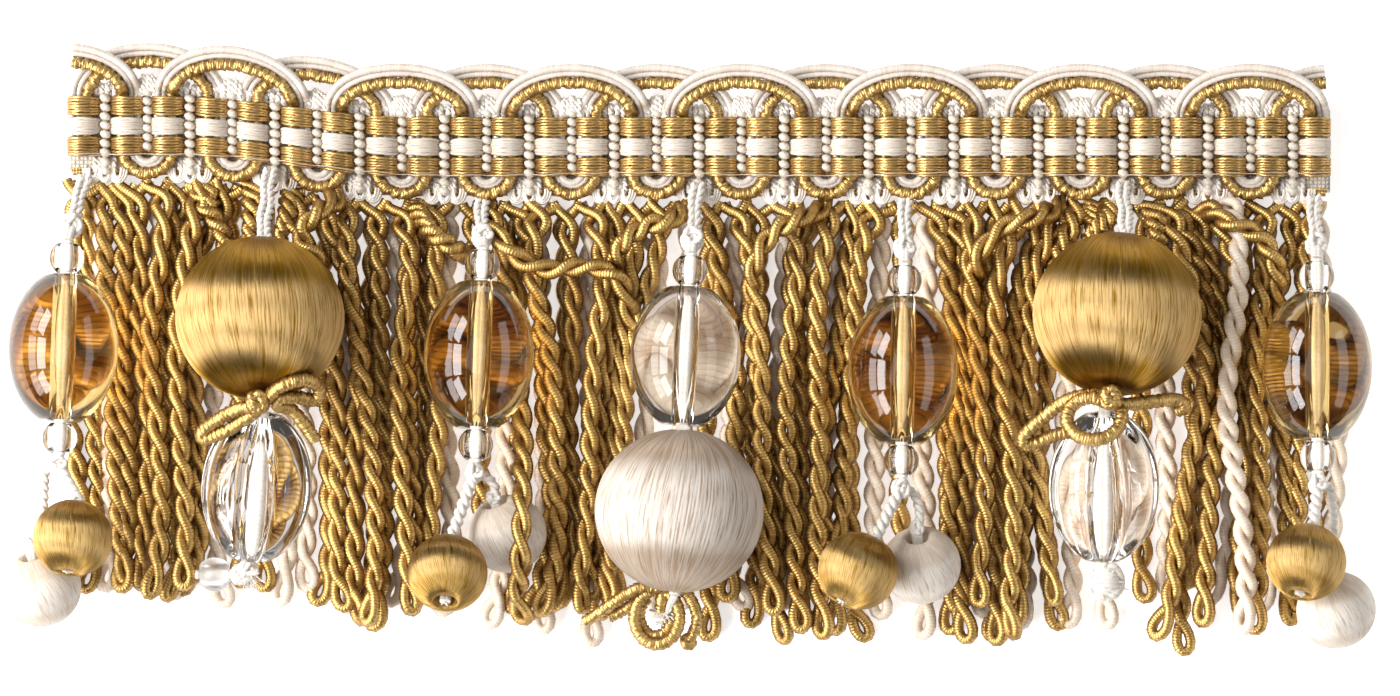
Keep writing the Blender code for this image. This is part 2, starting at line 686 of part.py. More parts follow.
def add_bead(name, centre, direction, radius, half_length, rim, steps, sides, finish):
    """A bored bead: a barrel that narrows to rim at each end, turned about its own Z axis."""
    start = math.asin(rim / radius)
    profile = []
    for step in range(steps + 1):
        angle = start + (math.pi - 2 * start) * step / steps
        profile.append((
            radius * math.sin(angle), half_length * math.cos(angle) / math.cos(start),
        ))
    profile.append((BORE_RADIUS, -half_length))
    profile.append((BORE_RADIUS, half_length))
    if rim <= BORE_RADIUS:
        del profile[steps]
        del profile[0]
    points = []
    for side in range(sides):
        angle = 2 * math.pi * side / sides
        for reach, height in profile:
            points.append((
                reach * math.cos(angle) * MM, reach * math.sin(angle) * MM, height * MM,
            ))
    size = len(profile)
    faces = []
    for side in range(sides):
        following_side = (side + 1) % sides
        for corner in range(size):
            following = (corner + 1) % size
            faces.append((
                side * size + corner, side * size + following,
                following_side * size + following, following_side * size + corner,
            ))
    bead = add_piece(name, points, faces, finish)
    bead.location = place(*centre)
    upward = Vector((direction.x, -direction.y, direction.z))
    bead.rotation_euler = upward.to_track_quat("Z", "X").to_euler()
    return bead


def add_oval(name, centre, direction, finish, half_length=OVAL_HALF_LENGTH):
    return add_bead(name, centre, direction, OVAL_RADIUS, half_length, OVAL_RIM, 7, 12, finish)


def add_ball(name, centre, direction, finish):
    return add_bead(name, centre, direction, BALL_RADIUS, BALL_HALF_LENGTH, BALL_RIM, 8, 14, finish)


def add_small_ball(name, centre, direction, finish):
    return add_bead(
        name, centre, direction, SMALL_BALL_RADIUS, SMALL_BALL_HALF_LENGTH, BALL_RIM, 6, 10, finish,
    )


def add_small_bead(name, centre, direction):
    return add_bead(
        name, centre, direction, BEAD_RADIUS, BEAD_HALF_LENGTH, BORE_RADIUS, 5, 8, clear_glass(),
    )


def add_cord(name, stops, finish):
    """A drop's cord through stops (point, radius), straight inside the beads."""
    route = [stop[0] for stop in stops]
    radii = [stop[1] for stop in stops]
    return add_tube(name, route, radii, finish)


def add_bow(name, stops):
    """A bow of gimp cord along its stops, whose heights are from the large ball's middle."""
    route = [point + Vector((0.0, 0.0, BALL_HEIGHT)) for point in smooth_route(stops, 2)]
    return add_tube(name, route, [GIMP_CORD_RADIUS] * len(route), gold_silk())


def amber_drop(drop):
    """An amber oval between two small clear beads, with a gold and a cream ball below it."""
    oval = Vector((*drop.oval, OVAL_HEIGHT))
    lie = axis_direction(drop.turn, OVAL_DIP)
    bead_offset = OVAL_HALF_LENGTH + CLEARANCE + BEAD_HALF_LENGTH
    upper_bead = oval + lie * bead_offset
    lower_bead = oval - lie * bead_offset
    add_oval(drop.name + "_oval", oval, lie, amber_glass())
    add_small_bead(drop.name + "_upper_bead", upper_bead, lie)
    add_small_bead(drop.name + "_lower_bead", lower_bead, lie)
    gold_ball = Vector((*drop.gold_ball, GOLD_BALL_HEIGHT))
    gold_lie = axis_direction(drop.gold_turn, drop.gold_dip)
    cream_ball = Vector((*drop.cream_ball, CREAM_BALL_HEIGHT))
    cream_lie = axis_direction(drop.cream_turn, drop.cream_dip)
    add_small_ball(drop.name + "_gold_ball", gold_ball, gold_lie, gold_silk())
    add_small_ball(drop.name + "_cream_ball", cream_ball, cream_lie, cream_silk())
    root = Vector((drop.root[0], drop.root[1] - heading_rise(drop.root[0]), ROOT_CORD_HEIGHT))
    top = upper_bead + lie * (BEAD_HALF_LENGTH + STRING_END)
    foot = lower_bead - lie * (BEAD_HALF_LENGTH + STRING_END)
    knot = foot - lie * KNOT_RADIUS
    gold_top = gold_ball + gold_lie * (SMALL_BALL_HALF_LENGTH + STRING_END)
    add_cord(drop.name + "_cord", [
        (root, ROOT_CORD_RADIUS),
        (root.lerp(top, 0.45), ROOT_CORD_RADIUS),
        (root.lerp(top, 0.72), KNOT_RADIUS),
        (top, STRING_RADIUS),
        (foot, STRING_RADIUS),
        (knot, KNOT_RADIUS),
        (knot - lie * KNOT_RADIUS, STRING_RADIUS),
        (knot.lerp(gold_top, 0.6), STRING_RADIUS),
        (gold_top, STRING_RADIUS),
        (gold_ball - gold_lie * SMALL_BALL_HALF_LENGTH, STRING_RADIUS),
    ], cream_cotton())
    cream_top = cream_ball + cream_lie * (SMALL_BALL_HALF_LENGTH + STRING_END)
    aside = math.copysign(BRANCH_ASIDE, cream_top.x - knot.x)
    branch = knot + Vector((aside, BRANCH_BELOW, -BRANCH_DEPTH))
    add_cord(drop.name + "_cream_cord", [
        (branch, STRING_RADIUS),
        (branch.lerp(cream_top, 0.5) + Vector((BRANCH_SAG, 0.0, 0.0)), STRING_RADIUS),
        (cream_top, STRING_RADIUS),
        (cream_ball - cream_lie * SMALL_BALL_HALF_LENGTH, STRING_RADIUS),
    ], cream_cotton())


def gold_drop(drop):
    """A large gold ball, a gimp bow, a clear oval and an end knot."""
    ball = Vector((*drop.ball, BALL_HEIGHT))
    ball_lie = axis_direction(drop.ball_turn, BALL_DIP)
    oval = Vector((*drop.oval, OVAL_HEIGHT))
    oval_lie = axis_direction(drop.oval_turn, -BALL_DIP)
    add_ball(drop.name + "_ball", ball, ball_lie, gold_silk())
    add_oval(drop.name + "_oval", oval, oval_lie, clear_glass())
    add_bow(drop.name + "_bow", drop.bow)
    root = Vector((*drop.root, LOW_ROOT_HEIGHT))
    top = ball + ball_lie * (BALL_HALF_LENGTH + STRING_END)
    oval_foot = oval - oval_lie * (OVAL_HALF_LENGTH + STRING_END)
    stops = [
        (root, ROOT_CORD_RADIUS),
        (root.lerp(top, 0.7), ROOT_CORD_RADIUS),
        (top, STRING_RADIUS),
        (ball - ball_lie * (BALL_HALF_LENGTH + STRING_END), STRING_RADIUS),
        (oval + oval_lie * (OVAL_HALF_LENGTH + STRING_END), STRING_RADIUS),
        (oval_foot, STRING_RADIUS),
    ]
    if drop.end_bead:
        bead = oval_foot + Vector(END_BEAD_OFFSET)
        bead_lie = axis_direction(90.0, 0.0)
        add_small_bead(drop.name + "_end_bead", bead, bead_lie)
        stops += [(oval_foot + Vector(offset), KNOT_RADIUS) for offset in END_KNOT_OFFSETS]
        stops += [
            (bead + bead_lie * (BEAD_HALF_LENGTH + STRING_END), STRING_RADIUS),
            (bead - bead_lie * (BEAD_HALF_LENGTH + STRING_END), STRING_RADIUS),
        ]
    else:
        for share, girth in BALL_KNOT_GIRTHS:
            stops.append((oval_foot + Vector(BALL_KNOT_OFFSET) * share, END_KNOT_RADIUS * girth))
    add_cord(drop.name + "_cord", stops, cream_cotton())


def cream_drop(drop):
    """A small clear bead, a clear oval, a large cream ball and a gimp bow."""
    oval = Vector((*drop.oval, OVAL_HEIGHT))
    oval_lie = axis_direction(drop.oval_turn, OVAL_DIP)
    bead = oval + oval_lie * (CREAM_DROP_OVAL_HALF_LENGTH + CLEARANCE + BEAD_HALF_LENGTH)
    ball = Vector((*drop.ball, BALL_HEIGHT))
    ball_lie = axis_direction(drop.ball_turn, 0.0)
    add_small_bead(drop.name + "_bead", bead, oval_lie)
    add_oval(drop.name + "_oval", oval, oval_lie, clear_glass(), CREAM_DROP_OVAL_HALF_LENGTH)
    add_ball(drop.name + "_ball", ball, ball_lie, cream_silk())
    add_bow(drop.name + "_bow", drop.bow)
    root = Vector((*drop.root, LOW_ROOT_HEIGHT))
    top = bead + oval_lie * (BEAD_HALF_LENGTH + STRING_END)
    add_cord(drop.name + "_cord", [
        (root, ROOT_CORD_RADIUS),
        (root.lerp(top, 0.5), ROOT_CORD_RADIUS),
        (root.lerp(top, 0.78), KNOT_RADIUS),
        (top, STRING_RADIUS),
        (oval - oval_lie * (CREAM_DROP_OVAL_HALF_LENGTH + TIGHT_END), STRING_RADIUS),
        (ball + ball_lie * (BALL_HALF_LENGTH + TIGHT_END), STRING_RADIUS),
        (ball - ball_lie * (BALL_HALF_LENGTH + STRING_END), STRING_RADIUS),
    ], cream_cotton())


def main():
    """Builds every piece of the trim."""
    for left_over in list(bpy.data.objects):
        bpy.data.objects.remove(left_over, do_unlink=True)
    heading_tape()
    gimp("gimp_front", FRONT_GIMP_FIRST_ARCH, CROSSING_LIFT, True, False, gold_silk())
    gimp("gimp_back", BACK_GIMP_FIRST_ARCH, 0.0, False, True, cream_silk())
    for name, top, foot in BAND_LIMITS:
        finish = cream_silk() if "cream" in name else gold_silk()
        silk_band(name, top, foot, finish)
    cream, gold_back, gold_middle, gold_front = lay_fringe()
    fringe("fringe_cream", CREAM_STRIP_HEIGHTS, [cream], cream_silk())
    fringe("fringe_gold", GOLD_STRIP_HEIGHTS, [gold_back, gold_middle + gold_front], gold_silk())
    for drop in AMBER_DROPS:
        amber_drop(drop)
    for drop in GOLD_DROPS:
        gold_drop(drop)
    cream_drop(CREAM_DROP)


if __name__ == "__main__":
    main()
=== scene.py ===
"""The finished look of a cut length of beaded bullion fringe, laid face up on a pale floor.

Sizes are in millimetres. A place on the trim is (along, below, height): along the heading from
its left cut end, below the heading's lower edge, and height above the floor.
"""
import math
import random
from collections import namedtuple

import bmesh
import bpy
import numpy as np
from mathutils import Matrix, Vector

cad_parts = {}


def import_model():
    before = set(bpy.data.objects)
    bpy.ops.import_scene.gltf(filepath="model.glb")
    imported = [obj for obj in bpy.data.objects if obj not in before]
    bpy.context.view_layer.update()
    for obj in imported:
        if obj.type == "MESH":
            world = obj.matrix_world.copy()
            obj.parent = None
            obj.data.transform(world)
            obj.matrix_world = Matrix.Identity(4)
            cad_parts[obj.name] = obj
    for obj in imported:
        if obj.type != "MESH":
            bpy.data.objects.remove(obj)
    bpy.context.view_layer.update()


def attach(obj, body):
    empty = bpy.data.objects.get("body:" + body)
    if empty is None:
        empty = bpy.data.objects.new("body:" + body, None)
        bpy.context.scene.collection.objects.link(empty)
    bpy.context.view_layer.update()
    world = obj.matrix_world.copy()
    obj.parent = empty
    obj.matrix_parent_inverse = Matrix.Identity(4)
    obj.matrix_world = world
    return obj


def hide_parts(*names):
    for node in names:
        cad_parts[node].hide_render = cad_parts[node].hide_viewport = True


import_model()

MM = 0.001
CLEARANCE = 0.3
MIDDLE_ALONG = 91.8
MIDDLE_BELOW = 22.04

# Heading
HEADING_LENGTH = 186.6
HEADING_RISE = 3.1
RISE_STARTS = 50.8
RISE_RUN = 35.5
GROUND_TOP = -13.7
TAPE_FOOT = -1.4
TAPE_THICKNESS = 2.2

# Gimp braid
GIMP_PERIOD = 25.08
FRONT_GIMP_FIRST_ARCH = -0.74
BACK_GIMP_FIRST_ARCH = 11.8
ARCH_COUNT = 8
ARCH_HALF_SPAN = 9.585
ARCH_FOOT = -12.8
ARCH_HEIGHT = 5.5
LEG_FOOT = -4.8
BEND_DEPTH = 2.84
CROSSING_LIFT = 1.8
GIMP_FLOOR = 2.5

# Silk bands over the legs: name, top edge, lower edge
BAND_LIMITS = (
    ("band_gold_upper", -12.5, -9.65),
    ("band_cream", -9.35, -6.85),
    ("band_gold_lower", -6.55, -3.7),
)

# Fringe
STRIP_FOOT = 0.1
CORD_WIDTH = 3.2
CORD_HEIGHT = 2.8
ROOT_WIDTH = 2.5
ROOT_HEIGHT = 0.3
STATIONS = (0.0, 0.07, 0.19, 0.37, 0.58, 0.80, 1.0)
FULLNESS = (0.02, 0.6, 0.9, 1.0, 1.0, 1.0, 0.75)
LEANS = (0.0, 0.5, 1.0, 0.4, 0.0, 0.0, 0.0)
FOOT_TAPER = 0.6
SIDE_GAP = 0.35
LAYER_GAP = 0.12
SPAN_SAMPLES = 4
SETTLING_ROUNDS = 120

# Beads
BALL_RADIUS = 12.45
BALL_HALF_LENGTH = 11.9
SMALL_BALL_RADIUS = 5.9
SMALL_BALL_HALF_LENGTH = 5.3
OVAL_RADIUS = 8.15
OVAL_HALF_LENGTH = 10.8
CREAM_DROP_OVAL_HALF_LENGTH = 10.15
BEAD_RADIUS = 2.6
BEAD_HALF_LENGTH = 2.2
OVAL_RIM = 3.0
BALL_RIM = 1.9
STRING_RADIUS = 0.85
BORE_RADIUS = 1.2
BALL_HEIGHT = 15.8
OVAL_HEIGHT = 11.5
GOLD_BALL_HEIGHT = 17.5
CREAM_BALL_HEIGHT = 9.0
OVAL_DIP = 5.0
BALL_DIP = 10.0
ROOT_CORD_HEIGHT = 3.65
LOW_ROOT_HEIGHT = 3.7
KNOT_RADIUS = 1.5
UPPER_CORD_MIDDLE = 4.0
UPPER_CORD_HEIGHT = 7.0
UPPER_BEAD_OFFSET = 13.3
UPPER_BEAD_HEIGHT = 10.3
BRANCH_ASIDE = 2.0
BRANCH_BELOW = 0.8
BRANCH_DEPTH = 1.4
BRANCH_SAG = 0.6
STRING_END = 0.4
TIGHT_END = 0.1
END_KNOT_RADIUS = 2.9
END_KNOT_DROP = 13.4
END_KNOT_HEIGHT = 8.8
END_BEAD_ASIDE = 6.3
END_BEAD_OFFSET = (-5.4, 2.0, -1.6)
END_KNOT_OFFSETS = ((-0.4, 1.4, -0.9), (-1.6, 2.0, -1.6))
BALL_KNOT_OFFSET = (0.3, 4.2, -1.2)


def smoothstep(value):
    """Eases from 0 to 1 as value goes from 0 to 1."""
    value = min(max(value, 0.0), 1.0)
    return value * value * (3.0 - 2.0 * value)


def heading_rise(along):
    """How far the heading curves up towards its left end."""
    return HEADING_RISE * smoothstep((RISE_STARTS - along) / RISE_RUN)


def heading_rises(alongs):
    """How far the heading curves up at each of many places along it."""
    return np.array([heading_rise(along) for along in alongs])


def world(points):
    """Places on the trim as metres in the world, for an array of them."""
    points = np.asarray(points, dtype=float)
    return np.column_stack((
        (points[:, 0] - MIDDLE_ALONG) * MM,
        (MIDDLE_BELOW - points[:, 1]) * MM,
        points[:, 2] * MM,
    ))


def with_radius(line, radius):
    """A line of points with the same radius for each of them."""
    return np.column_stack((line, np.full(len(line), radius)))


def smooth_route(stops, spacing):
    """An even smooth curve through the stops, as an array of points spacing apart."""
    stops = np.asarray(stops, dtype=float)
    padded = np.vstack((stops[0] * 2 - stops[1], stops, stops[-1] * 2 - stops[-2]))
    dense = []
    for index in range(1, len(padded) - 2):
        before, start, end, after = padded[index - 1:index + 3]
        for t in np.linspace(0.0, 1.0, 12, endpoint=False):
            dense.append(0.5 * (
                2 * start + (end - before) * t
                + (2 * before - 5 * start + 4 * end - after) * t ** 2
                + (3 * start - before - 3 * end + after) * t ** 3
            ))
    dense.append(stops[-1])
    return even_points(np.array(dense), spacing)


def lengths_of(points):
    """How far along a line of points each of them lies."""
    steps = np.linalg.norm(np.diff(points[:, :3], axis=0), axis=1)
    return np.concatenate(([0.0], np.cumsum(steps)))


def even_points(points, spacing):
    """The same line with its points evenly spaced; further columns are carried along."""
    run = lengths_of(points)
    count = max(int(round(run[-1] / spacing)), 2)
    even = np.linspace(0.0, run[-1], count + 1)
    return np.column_stack([np.interp(even, run, column) for column in points.T])


def across_and_up(centre):
    """Unit directions across and above a route, in the trim's own measures."""
    ahead = np.gradient(centre, axis=0)
    ahead /= np.linalg.norm(ahead, axis=1)[:, None]
    across = np.cross(ahead, np.tile((0.0, 0.0, 1.0), (len(centre), 1)))
    size = np.linalg.norm(across, axis=1)[:, None]
    across = np.where(size > 0.05, across / np.maximum(size, 1e-9), (1.0, 0.0, 0.0))
    up = np.cross(across, ahead)
    up *= np.sign(up[:, 2:3] + 1e-9)
    return across, up


# Shader groups and finishes

def new_group(name, inputs, outputs):
    """A shader node group with named inputs (name, default) and outputs (name, kind)."""
    group = bpy.data.node_groups.new(name, "ShaderNodeTree")
    for label, default in inputs:
        socket = group.interface.new_socket(
            name=label, in_out="INPUT",
            socket_type="NodeSocketColor" if isinstance(default, tuple) else "NodeSocketFloat",
        )
        socket.default_value = default
    for label, kind in outputs:
        group.interface.new_socket(name=label, in_out="OUTPUT", socket_type=kind)
    return group


class Wiring:
    """Small helper that adds nodes to a node tree and joins them."""

    def __init__(self, tree):
        """Works on one node tree."""
        self.tree = tree

    def add(self, kind, **settings):
        """Adds a node with its settings."""
        node = self.tree.nodes.new(kind)
        for key, value in settings.items():
            setattr(node, key, value)
        return node

    def join(self, source, target):
        """Links an output to an input."""
        self.tree.links.new(source, target)

    def feed(self, target, value):
        """Joins a socket to a target, or sets a plain value on it."""
        if isinstance(value, bpy.types.NodeSocket):
            self.join(value, target)
        else:
            target.default_value = value

    def maths(self, operation, *values):
        """The result of one sum, product or the like."""
        node = self.add("ShaderNodeMath", operation=operation)
        for socket, value in zip(node.inputs, values):
            self.feed(socket, value)
        return node.outputs[0]

    def plus(self, first, second):
        """A sum."""
        return self.maths("ADD", first, second)

    def minus(self, first, second):
        """A difference."""
        return self.maths("SUBTRACT", first, second)

    def times(self, first, second):
        """A product."""
        return self.maths("MULTIPLY", first, second)

    def ratio(self, first, second):
        """The first divided by the second."""
        return self.maths("DIVIDE", first, second)

    def blend(self, factor, first, second):
        """A colour between two others."""
        node = self.add("ShaderNodeMix", data_type="RGBA", blend_type="MIX")
        self.feed(node.inputs[0], factor)
        self.feed(node.inputs[6], first)
        self.feed(node.inputs[7], second)
        return node.outputs[2]

    def attribute(self, name):
        """Reads in a shader what a piece's mesh keeps under a name."""
        return self.add("ShaderNodeAttribute", attribute_name=name, attribute_type="GEOMETRY")

    def ramp(self, value, low, high, out_low=0.0, out_high=1.0):
        """Eases from out_low to out_high as value goes from low to high."""
        node = self.add("ShaderNodeMapRange", interpolation_type="SMOOTHSTEP")
        for socket, item in zip(node.inputs, (value, low, high, out_low, out_high)):
            self.feed(socket, item)
        return node.outputs[0]

    def noise(self, vector, scale, detail=2.0, roughness=0.5):
        """Soft noise between 0 and 1."""
        node = self.add("ShaderNodeTexNoise")
        self.feed(node.inputs["Vector"], vector)
        self.feed(node.inputs["Scale"], scale)
        node.inputs["Detail"].default_value = detail
        node.inputs["Roughness"].default_value = roughness
        return node.outputs["Fac"]

    def scaled(self, vector, scale):
        """A vector with each of its parts multiplied."""
        node = self.add("ShaderNodeVectorMath", operation="MULTIPLY")
        self.feed(node.inputs[0], vector)
        node.inputs[1].default_value = scale
        return node.outputs[0]

    def parts(self, vector):
        """The three parts of a vector."""
        node = self.add("ShaderNodeSeparateXYZ")
        self.join(vector, node.inputs[0])
        return node.outputs

    def winding(self, run, around, pitch, starts):
        """How far thread has wound round a cord, in radians, at a place on its surface."""
        sides = self.parts(around)
        angle = self.maths("ARCTAN2", sides[1], sides[0])
        turns = self.ratio(run, pitch)
        return self.plus(self.times(turns, math.tau), self.times(angle, starts))

    def of_turn(self, winding):
        """A random value between 0 and 1 for each turn of the thread."""
        node = self.add("ShaderNodeTexWhiteNoise", noise_dimensions="1D")
        self.join(self.maths("FLOOR", self.ratio(winding, math.tau)), node.inputs["W"])
        return node.outputs["Value"]


def wound_thread_group():
    """Fine thread wound round a cord: its ridges, its uneven colour, and painted shade between
    its ridges and on its flanks.
    """
    group = new_group(
        "wound_thread",
        [("Pitch", 0.0003), ("Starts", 1.0), ("Unevenness", 0.5), ("Flank Shade", 0.6),
         ("Colour", (0.5, 0.5, 0.5, 1.0)), ("Shade And Tone Colour", (0.2, 0.2, 0.2, 1.0))],
        [("Height", "NodeSocketFloat"), ("Colour", "NodeSocketColor")],
    )
    wiring = Wiring(group)
    given = wiring.add("NodeGroupInput").outputs
    phase = wiring.winding(
        wiring.attribute("run").outputs["Fac"], wiring.attribute("around").outputs["Vector"],
        given["Pitch"], given["Starts"],
    )
    of_turn = wiring.of_turn(phase)

    # One ridge to a turn, some of them lower.
    ridge = wiring.maths("ABSOLUTE", wiring.maths("SINE", wiring.times(phase, 0.5)))
    lowered = wiring.times(wiring.times(of_turn, 0.8), given["Unevenness"])
    height = wiring.times(ridge, wiring.minus(1.0, lowered))

    # Painted shade deepens the colour between the ridges; the colour is deeper too in patches and
    # on some of the turns, a tone that differs at random.
    place = wiring.add("ShaderNodeTexCoord").outputs["Object"]
    patches = wiring.noise(place, scale=260.0, detail=3.0, roughness=0.6)
    between = wiring.ramp(height, low=0.35, high=0.0)
    shade = wiring.plus(wiring.times(between, 0.5),
                        wiring.ramp(patches, low=0.45, high=0.75, out_high=0.25))
    offset = wiring.times(wiring.minus(of_turn, 0.5), given["Unevenness"])
    shade = wiring.plus(shade, wiring.times(offset, 0.5))

    # Painted shade on the flanks: the colour deepens where the surface faces away from above,
    # along an edge that shifts from turn to turn.
    normal = wiring.add("ShaderNodeNewGeometry").outputs["Normal"]
    facing_up = wiring.plus(wiring.parts(normal)[2], wiring.times(offset, -0.3))
    painted_flank_shade = wiring.ramp(facing_up, low=0.88, high=0.35)
    shade = wiring.plus(shade, wiring.times(painted_flank_shade, given["Flank Shade"]))
    shade = wiring.maths("MAXIMUM", wiring.maths("MINIMUM", shade, 1.0), 0.0)
    out = wiring.add("NodeGroupOutput").inputs
    wiring.join(height, out["Height"])
    wiring.join(wiring.blend(shade, given["Colour"], given["Shade And Tone Colour"]), out["Colour"])
    return group


def laid_fibre_group():
    """Fine fibres laid from pole to pole, read from where they lie round and down the ball, with
    painted shade between the fibres and on both caps.
    """
    group = new_group(
        "laid_fibres",
        [("Across", 900.0), ("Along", 6.0), ("Middle", 0.5), ("Crowding", 0.85),
         ("Colour", (0.5, 0.5, 0.5, 1.0)), ("Shade And Tone Colour", (0.2, 0.2, 0.2, 1.0))],
        [("Height", "NodeSocketFloat"), ("Colour", "NodeSocketColor")],
    )
    wiring = Wiring(group)
    given = wiring.add("NodeGroupInput").outputs
    laid = wiring.parts(wiring.attribute("laid").outputs["Vector"])

    # The noise lies on a cylinder, so that it meets itself where a turn round the ball ends.
    angle = wiring.times(laid[0], math.tau)
    radius = wiring.ratio(given["Across"], math.tau)
    merge = wiring.add("ShaderNodeCombineXYZ")
    wiring.join(wiring.times(wiring.maths("COSINE", angle), radius), merge.inputs[0])
    wiring.join(wiring.times(wiring.maths("SINE", angle), radius), merge.inputs[1])
    wiring.join(wiring.times(laid[1], given["Along"]), merge.inputs[2])
    fibres = wiring.noise(merge.outputs[0], scale=1.0, detail=4.0, roughness=0.65)
    wisps = wiring.noise(wiring.scaled(merge.outputs[0], (0.22, 0.22, 0.5)), scale=1.0)
    # Painted shade in the gaps between the fibres, where their height is low, and along the
    # wisps.
    shade = wiring.plus(wiring.ramp(fibres, low=0.52, high=0.36, out_high=0.75),
                        wiring.ramp(wisps, low=0.52, high=0.3, out_high=0.35))

    # Painted shade on both caps: the colour darkens towards the poles beyond a jagged edge, so
    # that a lit band stays round the middle.
    off_middle = wiring.maths("ABSOLUTE", wiring.minus(laid[1], given["Middle"]))
    jagged = wiring.plus(off_middle, wiring.times(fibres, 0.25))
    cap_shade_mask = wiring.ramp(jagged, low=0.26, high=0.37, out_high=given["Crowding"])
    shade = wiring.maths("MINIMUM", wiring.plus(shade, cap_shade_mask), 1.0)
    out = wiring.add("NodeGroupOutput").inputs
    wiring.join(wiring.plus(fibres, wiring.times(wisps, 0.6)), out["Height"])
    wiring.join(wiring.blend(shade, given["Colour"], given["Shade And Tone Colour"]), out["Colour"])
    return group


def plain_finish(name, roughness, metallic=0.0, **constants):
    """A material with its Principled shader's constants set; returns material, wiring, shader."""
    made = bpy.data.materials.new(name)
    made.use_nodes = True
    wiring = Wiring(made.node_tree)
    shader = made.node_tree.nodes["Principled BSDF"]
    shader.inputs["Roughness"].default_value = roughness
    shader.inputs["Metallic"].default_value = metallic
    for label, value in constants.items():
        shader.inputs[label.replace("_", " ")].default_value = value
    return made, wiring, shader


def use_group(wiring, group, colour, shade_and_tone, **values):
    """Places a shader group in a material with that material's own colours and values."""
    node = wiring.add("ShaderNodeGroup")
    node.node_tree = group
    node.inputs["Colour"].default_value = (*colour, 1.0)
    node.inputs["Shade And Tone Colour"].default_value = (*shade_and_tone, 1.0)
    for label, value in values.items():
        node.inputs[label.replace("_", " ")].default_value = value
    return node


def bump_from(wiring, shader, height, depth, strength=1.0):
    """Roughens a surface by a height, to a depth in millimetres."""
    bump = wiring.add("ShaderNodeBump")
    bump.inputs["Strength"].default_value = strength
    bump.inputs["Distance"].default_value = depth * MM
    wiring.join(height, bump.inputs["Height"])
    wiring.join(bump.outputs["Normal"], shader.inputs["Normal"])


def wound_finish(name, colour, shade_and_tone, pitch, starts, depth, roughness, metallic=0.0, sheen=0.0,
                 painted_flank_shade=0.6, gloss=1.5):
    """Cord wrapped or twisted from fine thread."""
    made, wiring, shader = plain_finish(
        name, roughness, metallic, Sheen_Weight=sheen, Sheen_Roughness=0.4, IOR=gloss,
    )
    wound = use_group(wiring, WOUND_THREAD, colour, shade_and_tone, Pitch=pitch * MM, Starts=starts,
                      Flank_Shade=painted_flank_shade)
    wiring.join(wound.outputs["Colour"], shader.inputs["Base Color"])
    bump_from(wiring, shader, wound.outputs["Height"], depth)
    return made


def laid_finish(name, colour, shade_and_tone, across, along, depth, metallic, gloss, middle, painted_cap_shade):
    """Silk laid from pole to pole over a ball."""
    made, wiring, shader = plain_finish(name, 0.5, metallic, Anisotropic=1.0, IOR=gloss)
    laid = use_group(wiring, LAID_FIBRES, colour, shade_and_tone, Across=across, Along=along,
                     Middle=middle, Crowding=painted_cap_shade)
    wiring.join(laid.outputs["Colour"], shader.inputs["Base Color"])
    bump_from(wiring, shader, laid.outputs["Height"], depth)
    tangent = wiring.add("ShaderNodeTangent", direction_type="UV_MAP", uv_map=LAID_MAP)
    wiring.join(tangent.outputs[0], shader.inputs["Tangent"])
    return made


def glass_finish(name, colour, clearness, roughness=0.015, coat=0.0):
    """Moulded glass that lets lamp light through to what lies under it."""
    made, wiring, shader = plain_finish(
        name, roughness, 0.0, IOR=1.5, Transmission_Weight=1.0, Coat_Weight=coat,
        Coat_Roughness=0.01,
    )
    place = wiring.add("ShaderNodeTexCoord").outputs["Object"]
    swirl = wiring.ramp(wiring.noise(place, scale=120.0), low=0.35, high=0.65)
    denser = [value * 0.94 for value in colour]
    tint = wiring.blend(swirl, (*colour, 1.0), (*denser, 1.0))
    wiring.join(tint, shader.inputs["Base Color"])
    bump_from(wiring, shader, wiring.noise(place, scale=300.0, detail=1.0), 0.04, 0.5)
    see_through = wiring.add("ShaderNodeBsdfTransparent")
    see_through.inputs["Color"].default_value = (*clearness, 1.0)
    mix = wiring.add("ShaderNodeMixShader")
    wiring.join(wiring.add("ShaderNodeLightPath").outputs["Is Shadow Ray"], mix.inputs[0])
    wiring.join(shader.outputs[0], mix.inputs[1])
    wiring.join(see_through.outputs[0], mix.inputs[2])
    output = made.node_tree.nodes["Material Output"]
    wiring.join(mix.outputs[0], output.inputs["Surface"])
    return made


def weave_finish(name, colour, shade_and_tone, pitch, depth):
    """Plain woven cotton: rows of thread over and under, read from the piece's own place, with
    painted shade where the threads dip.
    """
    made, wiring, shader = plain_finish(name, 0.8, 0.0, Sheen_Weight=0.25, Sheen_Roughness=0.5)
    place = wiring.add("ShaderNodeTexCoord").outputs["Object"]
    sides = wiring.parts(place)
    warp = wiring.maths("SINE", wiring.times(sides[0], math.pi / (pitch * MM)))
    weft = wiring.maths("SINE", wiring.times(sides[1], math.pi / (pitch * MM)))
    over = wiring.times(warp, weft)
    threads = wiring.plus(wiring.maths("ABSOLUTE", over), wiring.times(over, 0.4))
    fuzz = wiring.times(wiring.noise(place, scale=900.0, detail=3.0), 0.5)
    # Painted shade: the colour deepens where the threads dip under each other.
    between = wiring.ramp(threads, low=0.5, high=0.05)
    wiring.join(wiring.blend(between, (*colour, 1.0), (*shade_and_tone, 1.0)), shader.inputs["Base Color"])
    bump_from(wiring, shader, wiring.plus(threads, fuzz), depth)
    return made


LAID_MAP = "laid_map"
WOUND_THREAD = wound_thread_group()
LAID_FIBRES = laid_fibre_group()
